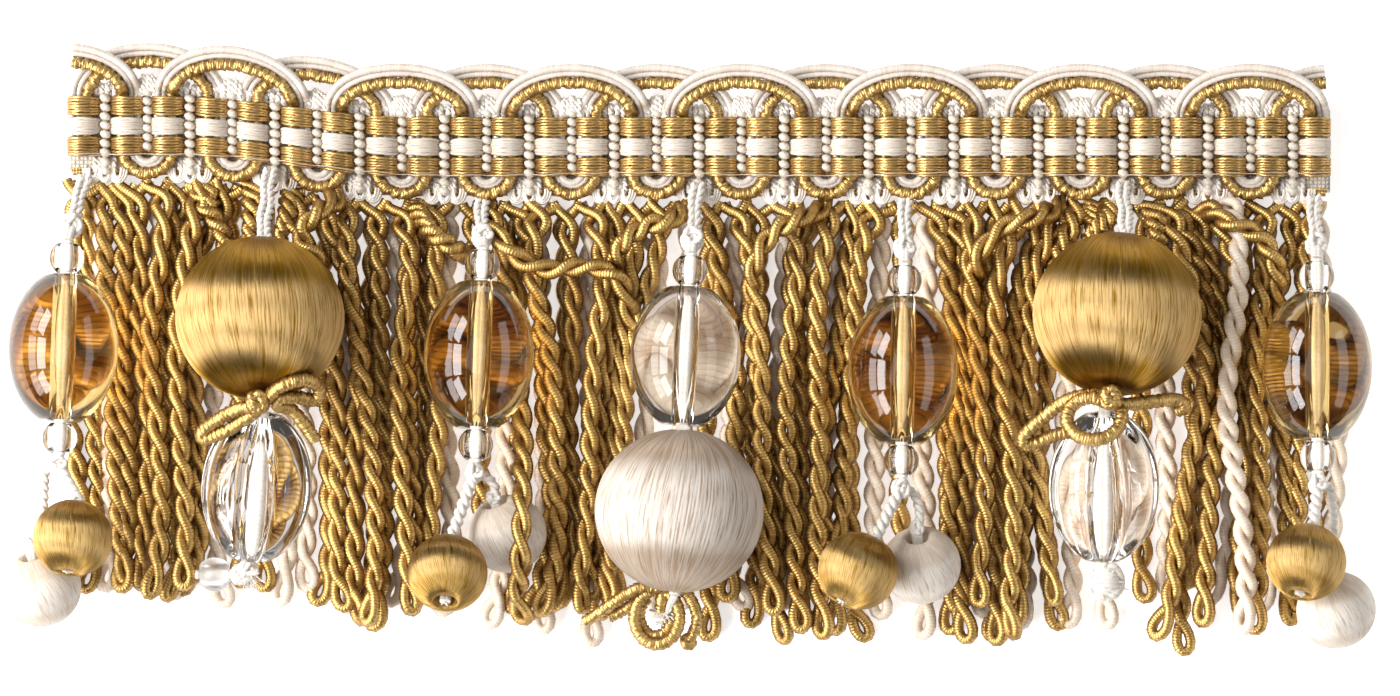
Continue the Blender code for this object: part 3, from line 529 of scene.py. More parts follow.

# Colours of the ridges or fibres, and a darker colour for painted shade between them, on flanks
# and on ball caps, and for uneven tone; pitches and depths in mm.
GOLD_SHADE_AND_TONE = (0.15, 0.056, 0.0)
CREAM_SHADE_AND_TONE = (0.56, 0.39, 0.25)
WOUND_LOOKS = {
    "gold_strand": dict(colour=(0.68, 0.435, 0.14), shade_and_tone=GOLD_SHADE_AND_TONE, pitch=0.43, starts=1.0,
                        depth=0.06, roughness=0.38, metallic=0.85),
    "cream_strand": dict(colour=(0.88, 0.75, 0.61), shade_and_tone=CREAM_SHADE_AND_TONE, pitch=0.43, starts=1.0,
                         depth=0.04, roughness=0.36, painted_flank_shade=0.4, gloss=1.6),
    "gold_gimp": dict(colour=(0.66, 0.43, 0.15), shade_and_tone=GOLD_SHADE_AND_TONE, pitch=0.36, starts=1.0,
                      depth=0.04, roughness=0.4, metallic=0.8, painted_flank_shade=0.5),
    "cream_gimp": dict(colour=(0.75, 0.68, 0.61), shade_and_tone=(0.42, 0.31, 0.22), pitch=0.24,
                       starts=1.0, depth=0.01, roughness=0.3, painted_flank_shade=0.9, gloss=1.8),
    "gold_thread": dict(colour=(0.66, 0.43, 0.16), shade_and_tone=GOLD_SHADE_AND_TONE, pitch=1.1, starts=2.0,
                        depth=0.03, roughness=0.32, metallic=0.75, painted_flank_shade=0.4),
    "cream_thread": dict(colour=(0.67, 0.60, 0.52), shade_and_tone=CREAM_SHADE_AND_TONE, pitch=1.1, starts=2.0,
                         depth=0.02, roughness=0.32, painted_flank_shade=0.3, gloss=1.8),
    "cream_cotton": dict(colour=(0.76, 0.68, 0.58), shade_and_tone=(0.54, 0.43, 0.33), pitch=0.4,
                         starts=2.0, depth=0.02, roughness=0.45, sheen=0.2, painted_flank_shade=0.4),
    "edge_cotton": dict(colour=(0.92, 0.86, 0.79), shade_and_tone=(0.78, 0.69, 0.59), pitch=0.4,
                        starts=2.0, depth=0.01, roughness=0.45, painted_flank_shade=0.0),
    "white_cotton": dict(colour=(0.82, 0.78, 0.73), shade_and_tone=(0.62, 0.54, 0.46), pitch=0.6,
                         starts=3.0, depth=0.03, roughness=0.5, sheen=0.2, painted_flank_shade=0.4),
}
LAID_LOOKS = {
    "gold_ball_silk": dict(colour=(0.68, 0.46, 0.20), shade_and_tone=(0.28, 0.14, 0.004), across=330.0,
                           along=7.0, depth=0.06, metallic=0.96, gloss=1.5, middle=0.57,
                           painted_cap_shade=0.78),
    "small_gold_ball_silk": dict(colour=(0.68, 0.46, 0.19), shade_and_tone=(0.32, 0.165, 0.012),
                                 across=200.0, along=5.0, depth=0.06, metallic=0.96, gloss=1.5,
                                 middle=0.55, painted_cap_shade=0.45),
    "cream_ball_silk": dict(colour=(0.67, 0.60, 0.53), shade_and_tone=(0.33, 0.23, 0.15), across=250.0,
                            along=6.0, depth=0.07, metallic=0.22, gloss=1.38, middle=0.47,
                            painted_cap_shade=0.62),
    "small_cream_ball_silk": dict(colour=(0.84, 0.77, 0.70), shade_and_tone=(0.56, 0.45, 0.34),
                                  across=200.0, along=5.0, depth=0.06, metallic=0.04,
                                  gloss=1.45, middle=0.47, painted_cap_shade=0.5),
}
GLASS_LOOKS = {
    "amber_glass": dict(colour=(0.60, 0.425, 0.17), clearness=(0.80, 0.72, 0.64),
                        roughness=0.04, coat=0.3),
    "pale_grey_glass": dict(colour=(0.70, 0.68, 0.65), clearness=(0.86, 0.86, 0.86)),
    "clear_glass": dict(colour=(0.85, 0.825, 0.80), clearness=(0.92, 0.92, 0.92)),
    "frosted_glass": dict(colour=(0.96, 0.96, 0.955), clearness=(0.94, 0.94, 0.94),
                          roughness=0.3),
}
FINISHES = {name: wound_finish(name, **look) for name, look in WOUND_LOOKS.items()}
FINISHES |= {name: laid_finish(name, **look) for name, look in LAID_LOOKS.items()}
FINISHES |= {name: glass_finish(name, **look) for name, look in GLASS_LOOKS.items()}
# The second colour is the painted shade between the woven threads.
FINISHES["ground_cloth"] = weave_finish(
    "ground_cloth", (0.80, 0.74, 0.66), (0.50, 0.41, 0.31), pitch=0.6, depth=0.15)


# Wound threads by nodes

def kept_value(wiring, geometry, name, kind, value):
    """A geometry that keeps a value on its points, under a name."""
    node = wiring.add("GeometryNodeStoreNamedAttribute", data_type=kind, domain="POINT")
    node.inputs["Name"].default_value = name
    wiring.join(geometry, node.inputs["Geometry"])
    wiring.join(value, node.inputs["Value"])
    return node.outputs[0]


def read_value(wiring, name, kind):
    """Reads what a geometry keeps on its points under a name."""
    node = wiring.add("GeometryNodeInputNamedAttribute", data_type=kind)
    node.inputs["Name"].default_value = name
    return node.outputs["Attribute"]


def lump_rise(wiring, given):
    """How far the surface of a wound cord stands out: a lump to each turn, some of them lower."""
    phase = wiring.winding(read_value(wiring, "run", "FLOAT"),
                           read_value(wiring, "around", "FLOAT_VECTOR"),
                           given["Lump Pitch"], given["Lump Starts"])
    place = wiring.add("GeometryNodeInputPosition").outputs[0]
    phase = wiring.plus(phase, wiring.times(wiring.noise(place, scale=600.0), 14.0))
    across_turn = wiring.maths("FRACT", wiring.ratio(phase, math.tau))
    lump = wiring.minus(wiring.maths("POWER", across_turn, 0.7), 0.64)
    share = wiring.plus(wiring.times(wiring.of_turn(phase), 0.7), 0.6)
    return wiring.times(wiring.times(lump, given["Lump Height"]), share)


def thread_tree():
    """Geometry nodes that turn lines of points into cords, with wound lumps where asked."""
    tree = bpy.data.node_groups.new("wind_cords", "GeometryNodeTree")
    sockets = (
        ("Lines", "NodeSocketGeometry", None), ("Sides", "NodeSocketInt", 8),
        ("Lump Height", "NodeSocketFloat", 0.0), ("Lump Pitch", "NodeSocketFloat", 0.001),
        ("Lump Starts", "NodeSocketFloat", 1.0), ("Finish", "NodeSocketMaterial", None),
    )
    for label, kind, default in sockets:
        socket = tree.interface.new_socket(name=label, in_out="INPUT", socket_type=kind)
        if default is not None:
            socket.default_value = default
    tree.interface.new_socket(name="Cords", in_out="OUTPUT", socket_type="NodeSocketGeometry")
    wiring = Wiring(tree)
    given = wiring.add("NodeGroupInput").outputs

    # A round section is swept along each line, as wide as the line's girth.
    to_curve = wiring.add("GeometryNodeMeshToCurve")
    wiring.join(given["Lines"], to_curve.inputs["Mesh"])
    route = kept_value(wiring, to_curve.outputs["Curve"], "run", "FLOAT",
                       wiring.add("GeometryNodeSplineParameter").outputs["Length"])
    circle = wiring.add("GeometryNodeCurvePrimitiveCircle")
    wiring.join(given["Sides"], circle.inputs["Resolution"])
    circle.inputs["Radius"].default_value = 1.0
    section = kept_value(wiring, circle.outputs["Curve"], "around", "FLOAT_VECTOR",
                         wiring.add("GeometryNodeInputPosition").outputs[0])
    skin = wiring.add("GeometryNodeCurveToMesh")
    wiring.join(route, skin.inputs["Curve"])
    wiring.join(section, skin.inputs["Profile Curve"])
    wiring.join(read_value(wiring, "girth", "FLOAT"), skin.inputs["Scale"])
    skin.inputs["Fill Caps"].default_value = True

    # The lumps push the surface out, and the finish is set.
    offset = wiring.add("ShaderNodeVectorMath", operation="SCALE")
    wiring.join(wiring.add("GeometryNodeInputNormal").outputs["Normal"], offset.inputs[0])
    wiring.join(lump_rise(wiring, given), offset.inputs["Scale"])
    lumpy = wiring.add("GeometryNodeSetPosition")
    wiring.join(skin.outputs["Mesh"], lumpy.inputs["Geometry"])
    wiring.join(offset.outputs[0], lumpy.inputs["Offset"])
    smooth = wiring.add("GeometryNodeSetShadeSmooth")
    wiring.join(lumpy.outputs[0], smooth.inputs["Geometry"])
    whole = wiring.add("GeometryNodeRealizeInstances")
    wiring.join(smooth.outputs[0], whole.inputs["Geometry"])
    finish = wiring.add("GeometryNodeSetMaterial")
    wiring.join(whole.outputs[0], finish.inputs["Geometry"])
    wiring.join(given["Finish"], finish.inputs["Material"])
    wiring.join(finish.outputs[0], wiring.add("NodeGroupOutput").inputs["Cords"])
    return tree


WIND_CORDS = thread_tree()
SOCKETS = {item.name: item.identifier for item in WIND_CORDS.interface.items_tree
           if item.in_out == "INPUT"}
Lumps = namedtuple("Lumps", "height pitch starts")
NO_LUMPS = Lumps(0.0, 1.0, 1.0)
GIMP_LUMPS = Lumps(0.5, 1.2, 3.0)
BOW_LUMPS = Lumps(0.34, 0.95, 3.0)


def link_piece(name, mesh):
    """Puts a mesh into the scene as a piece at the origin."""
    piece = bpy.data.objects.new(name, mesh)
    bpy.context.scene.collection.objects.link(piece)
    return piece


def line_mesh(name, lines):
    """A mesh of bare lines, each an array of (along, below, height, radius)."""
    points = np.vstack([world(line[:, :3]) for line in lines])
    radii = np.concatenate([line[:, 3] for line in lines]) * MM
    edges = []
    first = 0
    for line in lines:
        ends = np.arange(first, first + len(line) - 1)
        edges.append(np.column_stack((ends, ends + 1)))
        first += len(line)
    edges = np.vstack(edges)
    mesh = bpy.data.meshes.new(name)
    mesh.vertices.add(len(points))
    mesh.vertices.foreach_set("co", points.astype(np.float32).ravel())
    mesh.edges.add(len(edges))
    mesh.edges.foreach_set("vertices", edges.astype(np.int32).ravel())
    mesh.update()
    girth = mesh.attributes.new("girth", "FLOAT", "POINT")
    girth.data.foreach_set("value", radii.astype(np.float32))
    return mesh


def wind(name, lines, finish, sides=8, lumps=NO_LUMPS):
    """Makes one piece of cords from lines, each an array of (along, below, height, radius)."""
    paths = line_mesh(name + "_lines", lines)
    piece = link_piece(name, paths)
    modifier = piece.modifiers.new("wind_cords", "NODES")
    modifier.node_group = WIND_CORDS
    modifier[SOCKETS["Sides"]] = sides
    modifier[SOCKETS["Lump Height"]] = lumps.height * MM
    modifier[SOCKETS["Lump Pitch"]] = lumps.pitch * MM
    modifier[SOCKETS["Lump Starts"]] = lumps.starts
    modifier[SOCKETS["Finish"]] = FINISHES[finish]
    depsgraph = bpy.context.evaluated_depsgraph_get()
    solid = bpy.data.meshes.new_from_object(piece.evaluated_get(depsgraph), depsgraph=depsgraph)
    piece.modifiers.remove(modifier)
    piece.data = solid
    solid.name = name
    bpy.data.meshes.remove(paths)
    return piece


def closed_mesh(name, points, faces):
    """A smooth closed mesh from places in metres and faces, which are turned outwards."""
    mesh = bpy.data.meshes.new(name)
    mesh.from_pydata(points.tolist(), [], faces)
    shape = bmesh.new()
    shape.from_mesh(mesh)
    bmesh.ops.recalc_face_normals(shape, faces=shape.faces)
    shape.to_mesh(mesh)
    shape.free()
    mesh.shade_smooth()
    return mesh


def dress(piece, slot, *nodes):
    """Lets a piece ride on the trim and stand for its CAD nodes; slot is not used."""
    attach(piece, "root")
    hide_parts(*nodes)
    return piece


# Where the drops hang

# A clump of fringe cords: where it starts and ends along the heading at the root, at two
# levels below it and at the foot, and how far down its shortest and longest cords reach.
Clump = namedtuple("Clump", (
    "root_left", "root_right", "upper_left", "upper_right", "middle_left", "middle_right",
    "foot_left", "foot_right", "shortest", "longest",
))
UPPER_LEVEL = 17.6
MIDDLE_LEVEL = 41.7
GOLD_CLUMPS = (
    Clump(0.0, 17.5, 6.6, 15.6, 5.2, 17.0, 3.6, 16.5, 57.0, 60.5),
    Clump(17.5, 28.0, 13.0, 17.0, 15.5, 20.5, 14.0, 21.5, 57.0, 60.5),
    Clump(28.0, 41.0, 41.5, 44.5, 36.5, 43.5, 35.5, 44.0, 60.5, 65.5),
    Clump(41.0, 56.5, 44.0, 53.0, 44.5, 53.5, 44.0, 55.0, 61.0, 64.0),
    Clump(56.5, 65.0, 55.5, 66.0, 56.0, 65.0, 55.0, 66.0, 58.5, 63.0),
    Clump(65.0, 75.0, 68.5, 74.5, 69.5, 74.5, 67.5, 72.5, 61.0, 64.5),
    Clump(75.0, 85.0, 76.0, 83.5, 75.5, 79.5, 74.0, 79.5, 59.0, 63.0),
    Clump(85.0, 99.0, 86.5, 101.5, 77.5, 104.5, 78.5, 104.5, 56.0, 63.0),
    Clump(99.0, 108.0, 98.5, 107.5, 102.5, 108.0, 103.5, 109.5, 63.0, 67.0),
    Clump(108.0, 119.0, 107.5, 116.0, 107.5, 114.0, 107.0, 116.0, 63.0, 67.0),
    Clump(119.0, 128.5, 118.0, 129.0, 116.5, 129.0, 115.5, 129.5, 58.0, 63.0),
    Clump(128.5, 138.0, 131.5, 137.5, 131.0, 137.5, 130.5, 137.0, 60.0, 66.0),
    Clump(138.0, 149.5, 136.5, 141.5, 137.5, 144.0, 136.5, 144.5, 63.0, 66.5),
    Clump(149.5, 159.0, 139.5, 143.5, 141.5, 146.5, 140.5, 147.0, 60.0, 65.5),
    Clump(159.0, 170.0, 167.5, 171.5, 162.5, 168.5, 157.5, 167.5, 62.0, 67.5),
    Clump(170.0, 180.0, 170.5, 178.5, 171.0, 178.5, 169.5, 178.0, 62.0, 65.5),
    Clump(180.0, 187.0, 179.5, 186.5, 180.5, 186.5, 179.0, 186.5, 60.0, 65.0),
)
FLOOR_CLUMPS = (
    Clump(0.0, 18.0, 3.0, 17.0, 4.0, 17.5, 4.0, 17.0, 56.0, 60.0),
    Clump(18.0, 42.0, 18.0, 44.0, 19.0, 44.0, 20.0, 43.0, 57.0, 62.0),
    Clump(42.0, 57.0, 44.5, 56.0, 47.5, 57.0, 46.5, 56.0, 58.0, 63.0),
    Clump(57.0, 76.0, 57.0, 75.0, 58.0, 75.0, 58.0, 72.0, 59.0, 65.0),
    Clump(76.0, 84.0, 74.5, 82.0, 73.0, 79.5, 71.0, 79.0, 58.0, 66.3),
    Clump(84.0, 100.0, 87.5, 101.0, 85.0, 102.0, 90.0, 103.0, 60.0, 66.5),
    Clump(100.0, 113.0, 100.0, 112.0, 101.0, 109.5, 102.0, 110.0, 60.0, 66.0),
    Clump(113.0, 121.0, 115.0, 120.0, 112.5, 117.0, 109.0, 118.0, 61.0, 66.0),
    Clump(121.0, 133.0, 121.0, 130.5, 122.0, 132.0, 127.0, 133.0, 58.0, 65.0),
    Clump(133.0, 150.0, 132.0, 149.0, 132.0, 148.0, 131.0, 149.0, 60.0, 66.0),
    Clump(150.0, 168.0, 150.0, 167.0, 149.0, 168.5, 149.5, 167.0, 57.0, 65.0),
    Clump(168.0, 178.0, 169.5, 177.5, 171.5, 177.5, 170.0, 178.0, 60.0, 65.0),
    Clump(178.0, 187.0, 180.0, 186.0, 182.0, 187.0, 179.0, 186.0, 58.0, 62.0),
)
COLUMNS = 52
COLUMN_PITCH = (HEADING_LENGTH - 2 * ROOT_WIDTH) / (COLUMNS - 1)
# A row of fringe cords: its clumps, which columns it takes, and how it lies in its layer.
Row = namedtuple("Row", "clumps first step root_height layer lean ball_gap drop_gap seed")
CREAM_ROW = Row(FLOOR_CLUMPS, 1, 2, 0.55, 0, 0.5, 0.0, 0.0, 11)
GOLD_BACK_ROW = Row(FLOOR_CLUMPS, 0, 2, 1.59, 0, 0.5, 2.7, 0.0, 23)
GOLD_MIDDLE_ROW = Row(GOLD_CLUMPS, 0, 2, 2.01, 1, 1.6, 4.5, 2.7, 37)
GOLD_FRONT_ROW = Row(GOLD_CLUMPS, 1, 2, 2.01, 2, 2.6, 8.0, 5.5, 41)

# Places of the beads are (along, below); turns and dips of their bores are in degrees.
AmberDrop = namedtuple("AmberDrop", (
    "name", "root", "oval", "turn", "gold_ball", "gold_turn", "gold_dip", "cream_ball",
    "cream_turn", "cream_dip",
))
AMBER_DROPS = (
    AmberDrop("amber_drop_1", (2.4, 0.3), (-0.3, 21.6), 2.0, (1.4, 49.5), 8.0, 12.0,
              (-3.6, 57.0), -15.0, -20.0),
    AmberDrop("amber_drop_2", (61.2, 0.3), (60.9, 22.6), 2.0, (56.4, 54.6), 4.0, 35.0,
              (65.0, 49.0), -20.0, -20.0),
    AmberDrop("amber_drop_3", (123.8, 0.3), (123.3, 24.9), 1.0, (116.6, 54.3), 28.0, 10.0,
              (126.0, 53.6), -8.0, -35.0),
    AmberDrop("amber_drop_4", (184.2, 0.3), (184.3, 24.3), 0.0, (182.4, 53.0), 12.0, 20.0,
              (187.2, 60.2), -15.0, -20.0),
)
# The stops of a bow are (along, below, height over the middle of a large ball).
GoldDrop = namedtuple("GoldDrop", "name root ball ball_turn oval oval_turn bow end_bead")
GOLD_DROPS = (
    GoldDrop("gold_drop_1", (29.9, -4.7), (28.8, 17.2), 2.0, (28.2, 42.0), 5.0, (
        (29.0, 30.2, 4.9), (25.6, 30.6, 3.4), (22.6, 32.2, 1.8), (20.4, 33.9, 0.8),
        (20.6, 34.9, 0.4), (23.4, 34.0, 1.2), (26.4, 32.2, 2.6), (28.8, 30.4, 4.0),
        (30.8, 28.2, 6.8), (33.0, 26.8, 7.8), (35.7, 26.3, 7.4), (37.6, 27.3, 5.0),
        (37.2, 29.2, 3.2), (34.9, 28.9, 4.4), (32.0, 29.0, 5.2), (31.6, 30.0, 4.2),
        (33.4, 30.6, 2.8), (35.2, 32.6, 1.8), (37.0, 35.2, 0.6),
    ), True),
    GoldDrop("gold_drop_2", (155.9, -2.6), (154.7, 16.6), 7.0, (152.9, 42.0), 0.0, (
        (148.6, 33.6, 0.6), (145.6, 34.4, 0.2), (142.6, 35.6, 0.0), (141.0, 35.7, 0.2),
        (141.2, 34.2, 0.8), (143.6, 32.0, 1.6), (146.6, 29.6, 2.6), (149.4, 28.6, 3.4),
        (152.4, 28.4, 3.4), (154.6, 29.6, 4.6), (155.2, 31.8, 6.2), (154.0, 34.0, 7.4),
        (151.2, 35.0, 7.8), (148.4, 34.2, 7.4), (147.1, 31.9, 6.2), (148.4, 29.6, 5.4),
        (151.0, 28.9, 5.6), (154.0, 29.8, 5.2), (157.0, 29.8, 4.2), (160.4, 29.4, 2.6),
        (163.4, 29.2, 1.8), (164.6, 30.2, 1.0), (163.4, 30.9, 0.4),
    ), False),
)
CreamDrop = namedtuple("CreamDrop", "name root oval oval_turn ball ball_turn")
CREAM_DROP = CreamDrop("cream_drop", (93.1, -2.6), (91.3, 22.8), 3.0, (90.4, 45.5), 3.0)
# What the fringe lies clear of: a round body, or an egg that is longer down the trim.
Solid = namedtuple("Solid", "along below height radius half_length")


def round_solid(place, height, radius):
    """A round body at its place (along, below)."""
    return Solid(*place, height, radius, radius)


def bead_solids():
    """The beads and the free stretches of the drops' cords that the fringe lies clear of."""
    solids = [
        Solid(drop.root[0], UPPER_CORD_MIDDLE, UPPER_CORD_HEIGHT, KNOT_RADIUS, UPPER_CORD_MIDDLE)
        for drop in AMBER_DROPS + GOLD_DROPS + (CREAM_DROP,)
    ]
    for drop in AMBER_DROPS:
        upper_bead = (drop.oval[0], drop.oval[1] - UPPER_BEAD_OFFSET)
        solids += [
            Solid(*drop.oval, OVAL_HEIGHT, OVAL_RADIUS, OVAL_HALF_LENGTH),
            round_solid(upper_bead, UPPER_BEAD_HEIGHT, BEAD_RADIUS),
            round_solid(drop.gold_ball, GOLD_BALL_HEIGHT, SMALL_BALL_RADIUS),
            round_solid(drop.cream_ball, CREAM_BALL_HEIGHT, SMALL_BALL_RADIUS),
        ]
    for drop in GOLD_DROPS + (CREAM_DROP,):
        solids.append(round_solid(drop.ball, BALL_HEIGHT, BALL_RADIUS))
        solids.append(Solid(*drop.oval, OVAL_HEIGHT, OVAL_RADIUS, OVAL_HALF_LENGTH))
    for drop in GOLD_DROPS:
        end_below = drop.oval[1] + END_KNOT_DROP
        solids.append(round_solid((drop.oval[0], end_below), END_KNOT_HEIGHT, END_KNOT_RADIUS))
        if drop.end_bead:
            end_bead = (drop.oval[0] - END_BEAD_ASIDE, end_below)
            solids.append(round_solid(end_bead, END_KNOT_HEIGHT, END_KNOT_RADIUS))
    return solids


# How the fringe cords lie

def level_along(below, levels, alongs):
    """Reads a smooth line through the places alongs at the given levels, at one level."""
    span = 0
    while span < len(levels) - 2 and below > levels[span + 1]:
        span += 1
    start, end = levels[span], levels[span + 1]
    run = end - start
    t = min(max((below - start) / run, 0.0), 1.0)
    slopes = []
    for knot in (span, span + 1):
        low = max(knot - 1, 0)
        high = min(knot + 1, len(levels) - 1)
        slopes.append((alongs[high] - alongs[low]) / (levels[high] - levels[low]))
    value = alongs[span] * (1 - t) ** 2 * (1 + 2 * t) + alongs[span + 1] * t ** 2 * (3 - 2 * t)
    return value + run * (slopes[0] * t * (1 - t) ** 2 - slopes[1] * t ** 2 * (1 - t))


def plan_row(row):
    """The plan (along, below) of each cord in a row, station by station, from the clumps."""
    chance = random.Random(row.seed)
    plans = []
    for column in range(row.first, COLUMNS, row.step):
        root = ROOT_WIDTH + column * COLUMN_PITCH
        wander = [chance.uniform(-1.0, 1.0) for _ in range(4)]
        clump = next(item for item in row.clumps if root < item.root_right)
        share = (root - clump.root_left) / (clump.root_right - clump.root_left)
        length_share = chance.random()
        under_ball = any(
            abs(root - drop.ball[0]) < row.ball_gap for drop in GOLD_DROPS + (CREAM_DROP,)
        )
        under_cord = any(abs(root - drop.root[0]) < row.drop_gap for drop in AMBER_DROPS)
        if under_ball or under_cord:
            continue
        root_below = STRIP_FOOT - heading_rise(root)
        foot_below = clump.shortest + (clump.longest - clump.shortest) * length_share
        levels = (root_below, UPPER_LEVEL, MIDDLE_LEVEL, foot_below)
        alongs = (
            root,
            clump.upper_left + (clump.upper_right - clump.upper_left) * share + wander[0],
            clump.middle_left + (clump.middle_right - clump.middle_left) * share + wander[1],
            clump.foot_left + (clump.foot_right - clump.foot_left) * share + wander[2],
        )
        plan = []
        for station, lean in zip(STATIONS, LEANS):
            below = root_below + (foot_below - root_below) * station
            along = level_along(below, levels, alongs) + row.lean * lean * wander[3]
            plan.append([along, below])
        plans.append(plan)
    return plans


def half_sizes(station):
    """Half the width and half the height of a fringe cord at one station."""
    fullness = FULLNESS[station]
    half_width = (ROOT_WIDTH + (CORD_WIDTH - ROOT_WIDTH) * min(1.0, fullness * 1.5)) / 2
    half_height = (ROOT_HEIGHT + (CORD_HEIGHT - ROOT_HEIGHT) * fullness) / 2
    if station == len(STATIONS) - 1:
        half_width *= FOOT_TAPER
    return half_width, half_height


def station_height(row, station):
    """The height of a row's cords at one station, each layer lying on the one below it."""
    if station == 0:
        return row.root_height
    below = half_sizes(min(station, len(STATIONS) - 2))[1] * 2 + LAYER_GAP
    return below * row.layer + half_sizes(station)[1]


def bead_push(along, below, height, half_width, solids):
    """How far sideways a cord has to move to clear the beads, with its sign."""
    push = 0.0
    for solid in solids:
        reach = solid.half_length + half_width
        off = (below - solid.below) / reach
        if abs(off) >= 1.0:
            continue
        girth = solid.radius * math.sqrt(1.0 - off * off) + half_width + CLEARANCE
        rise = height - solid.height
        if abs(rise) >= girth:
            continue
        needed = math.sqrt(girth * girth - rise * rise)
        side = along - solid.along
        if abs(side) < needed:
            away = needed - abs(side)
            if away > abs(push):
                push = away if side >= 0 else -away
    return push


def clear_beads(plan, row, solids):
    """Moves one cord sideways, clear of the beads along its whole length."""
    for span in range(len(plan) - 1):
        for sample in range(SPAN_SAMPLES + 1):
            t = sample / SPAN_SAMPLES
            along = plan[span][0] * (1 - t) + plan[span + 1][0] * t
            below = plan[span][1] * (1 - t) + plan[span + 1][1] * t
            height = station_height(row, span) * (1 - t) + station_height(row, span + 1) * t
            push = bead_push(along, below, height, CORD_WIDTH / 2, solids)
            if span > 0:
                plan[span][0] += push * min(1.0, 2 - 2 * t)
            plan[span + 1][0] += push * min(1.0, 2 * t)


def settle_layer(plans, row, solids):
    """Moves the cords of one layer apart and clear of the beads, over and over."""
    order = sorted(plans, key=lambda plan: plan[0][0])
    for _ in range(SETTLING_ROUNDS):
        for plan in order:
            clear_beads(plan, row, solids)
        for station in range(1, len(STATIONS)):
            for near, far in zip(order, order[1:]):
                short = CORD_WIDTH + SIDE_GAP - (far[station][0] - near[station][0])
                if short > 0.0:
                    near[station][0] -= short / 2
                    far[station][0] += short / 2


def lay_fringe():
    """Lays the fringe cords in three layers; returns the stations of each cord, row by row."""
    solids = bead_solids()
    rows = (CREAM_ROW, GOLD_BACK_ROW, GOLD_MIDDLE_ROW, GOLD_FRONT_ROW)
    plans = [plan_row(row) for row in rows]
    settle_layer(plans[0] + plans[1], CREAM_ROW, solids)
    settle_layer(plans[2], GOLD_MIDDLE_ROW, solids)
    settle_layer(plans[3], GOLD_FRONT_ROW, solids)
    laid = []
    for row, row_plans in zip(rows, plans):
        laid.append([
            [(*point, station_height(row, station)) for station, point in enumerate(plan)]
            for plan in row_plans
        ])
    return laid


# Fringe cords of two plies

PLY_RADIUS = 0.84
PLY_ACROSS = 0.79
PLY_RISE = 0.68
PLY_PITCH = 8.6
PLY_STEP = 0.72
FEWEST_TURNS = 3
WANDER = 0.28
WANDER_STARTS = 8.0
OPEN_ROOT_LENGTH = 7.0
FLAT_ROOT_LENGTH = 4.0
FLOOR_CLEARANCE = 0.04
LOOP_HALF_WIDTH = 1.45
LOOP_LENGTH = 4.7
LOOP_STEPS = 13
LOOP_TURN = 22
LOOP_TILT = 60
LOOP_TILT_ON_FLOOR = 25


def cut_short(route, length):
    """The first part of a route, up to a length along it."""
    run = lengths_of(route)
    keep = np.count_nonzero(run < length)
    end = [np.interp(length, run, column) for column in route.T]
    return np.vstack((route[:keep], [end]))


def foot_loop(centre, across, up, floor_layer, chance):
    """The open loop at a cord's foot, from the ply that comes down to the one that goes up."""
    ahead = centre[-1] - centre[-2]
    ahead /= np.linalg.norm(ahead)
    most = LOOP_TILT_ON_FLOOR if floor_layer else LOOP_TILT
    tilt = math.radians(chance.uniform(-most, most))
    turn = math.radians(chance.uniform(-LOOP_TURN, LOOP_TURN))
    side = across * math.cos(turn) + ahead * math.sin(turn)
    onward = ahead * math.cos(turn) - across * math.sin(turn)
    loop = []
    for step in range(1, LOOP_STEPS):
        angle = math.tau * step / LOOP_STEPS
        out = LOOP_HALF_WIDTH * math.sin(angle) * math.sin(angle / 2)
        down = LOOP_LENGTH * (1 - math.cos(angle)) / 2
        lift = PLY_RISE * math.cos(angle / 2) + out * math.sin(tilt)
        loop.append(centre[-1] + side * out * math.cos(tilt) + onward * down + up * lift)
    return loop


def fringe_ply(stations, chance, floor_layer=False):
    """One cord: down as one ply, round the loop at its foot, and up again as the other ply."""
    route = smooth_route(stations, PLY_STEP)
    centre = cut_short(route, lengths_of(route)[-1] - LOOP_LENGTH - PLY_RADIUS)
    run = lengths_of(centre)
    share = run / run[-1]
    across, up = across_and_up(centre)

    # The cord wanders a little from side to side below its root.
    wave = chance.uniform(0.0, math.tau)
    wander = WANDER * np.sin(run / chance.uniform(4.5, 8.0) + wave)
    wander = wander * np.minimum(run / WANDER_STARTS, 1.0)
    centre = centre + across * wander[:, None]

    # The plies wind round each other unevenly, and lie one over the other where the loop starts.
    turns = int(round(run[-1] / PLY_PITCH * chance.uniform(0.93, 1.08)))
    end_phase = math.tau * max(turns, FEWEST_TURNS)
    uneven = 0.45 * np.sin(share * math.tau * chance.uniform(1.0, 2.2) + wave)
    start_phase = -math.pi / 2 * chance.choice((1.0, 1.0, -1.0))
    phase = start_phase + (end_phase - start_phase) * share + uneven * share * (1 - share) * 3

    # They stand apart at the root, and lie flat in the strip that holds them.
    opening = chance.uniform(0.4, 1.6)
    spread = PLY_ACROSS + opening * np.clip(1.0 - run / OPEN_ROOT_LENGTH, 0.0, 1.0) ** 1.3
    spread *= 1.0 + 0.1 * np.sin(run / 3.1 + wave * 2)
    rise = PLY_RISE * np.clip(run / FLAT_ROOT_LENGTH, 0.25, 1.0)
    sideways = across * (spread * np.sin(phase))[:, None]
    upward = up * (rise * np.cos(phase))[:, None]
    loop = foot_loop(centre, across[-1], up[-1], floor_layer, chance)
    line = np.vstack((centre + sideways + upward, loop, (centre - sideways - upward)[::-1]))
    line[:, 2] = np.maximum(line[:, 2], PLY_RADIUS + FLOOR_CLEARANCE)
    return with_radius(line, PLY_RADIUS * chance.uniform(0.94, 1.05))


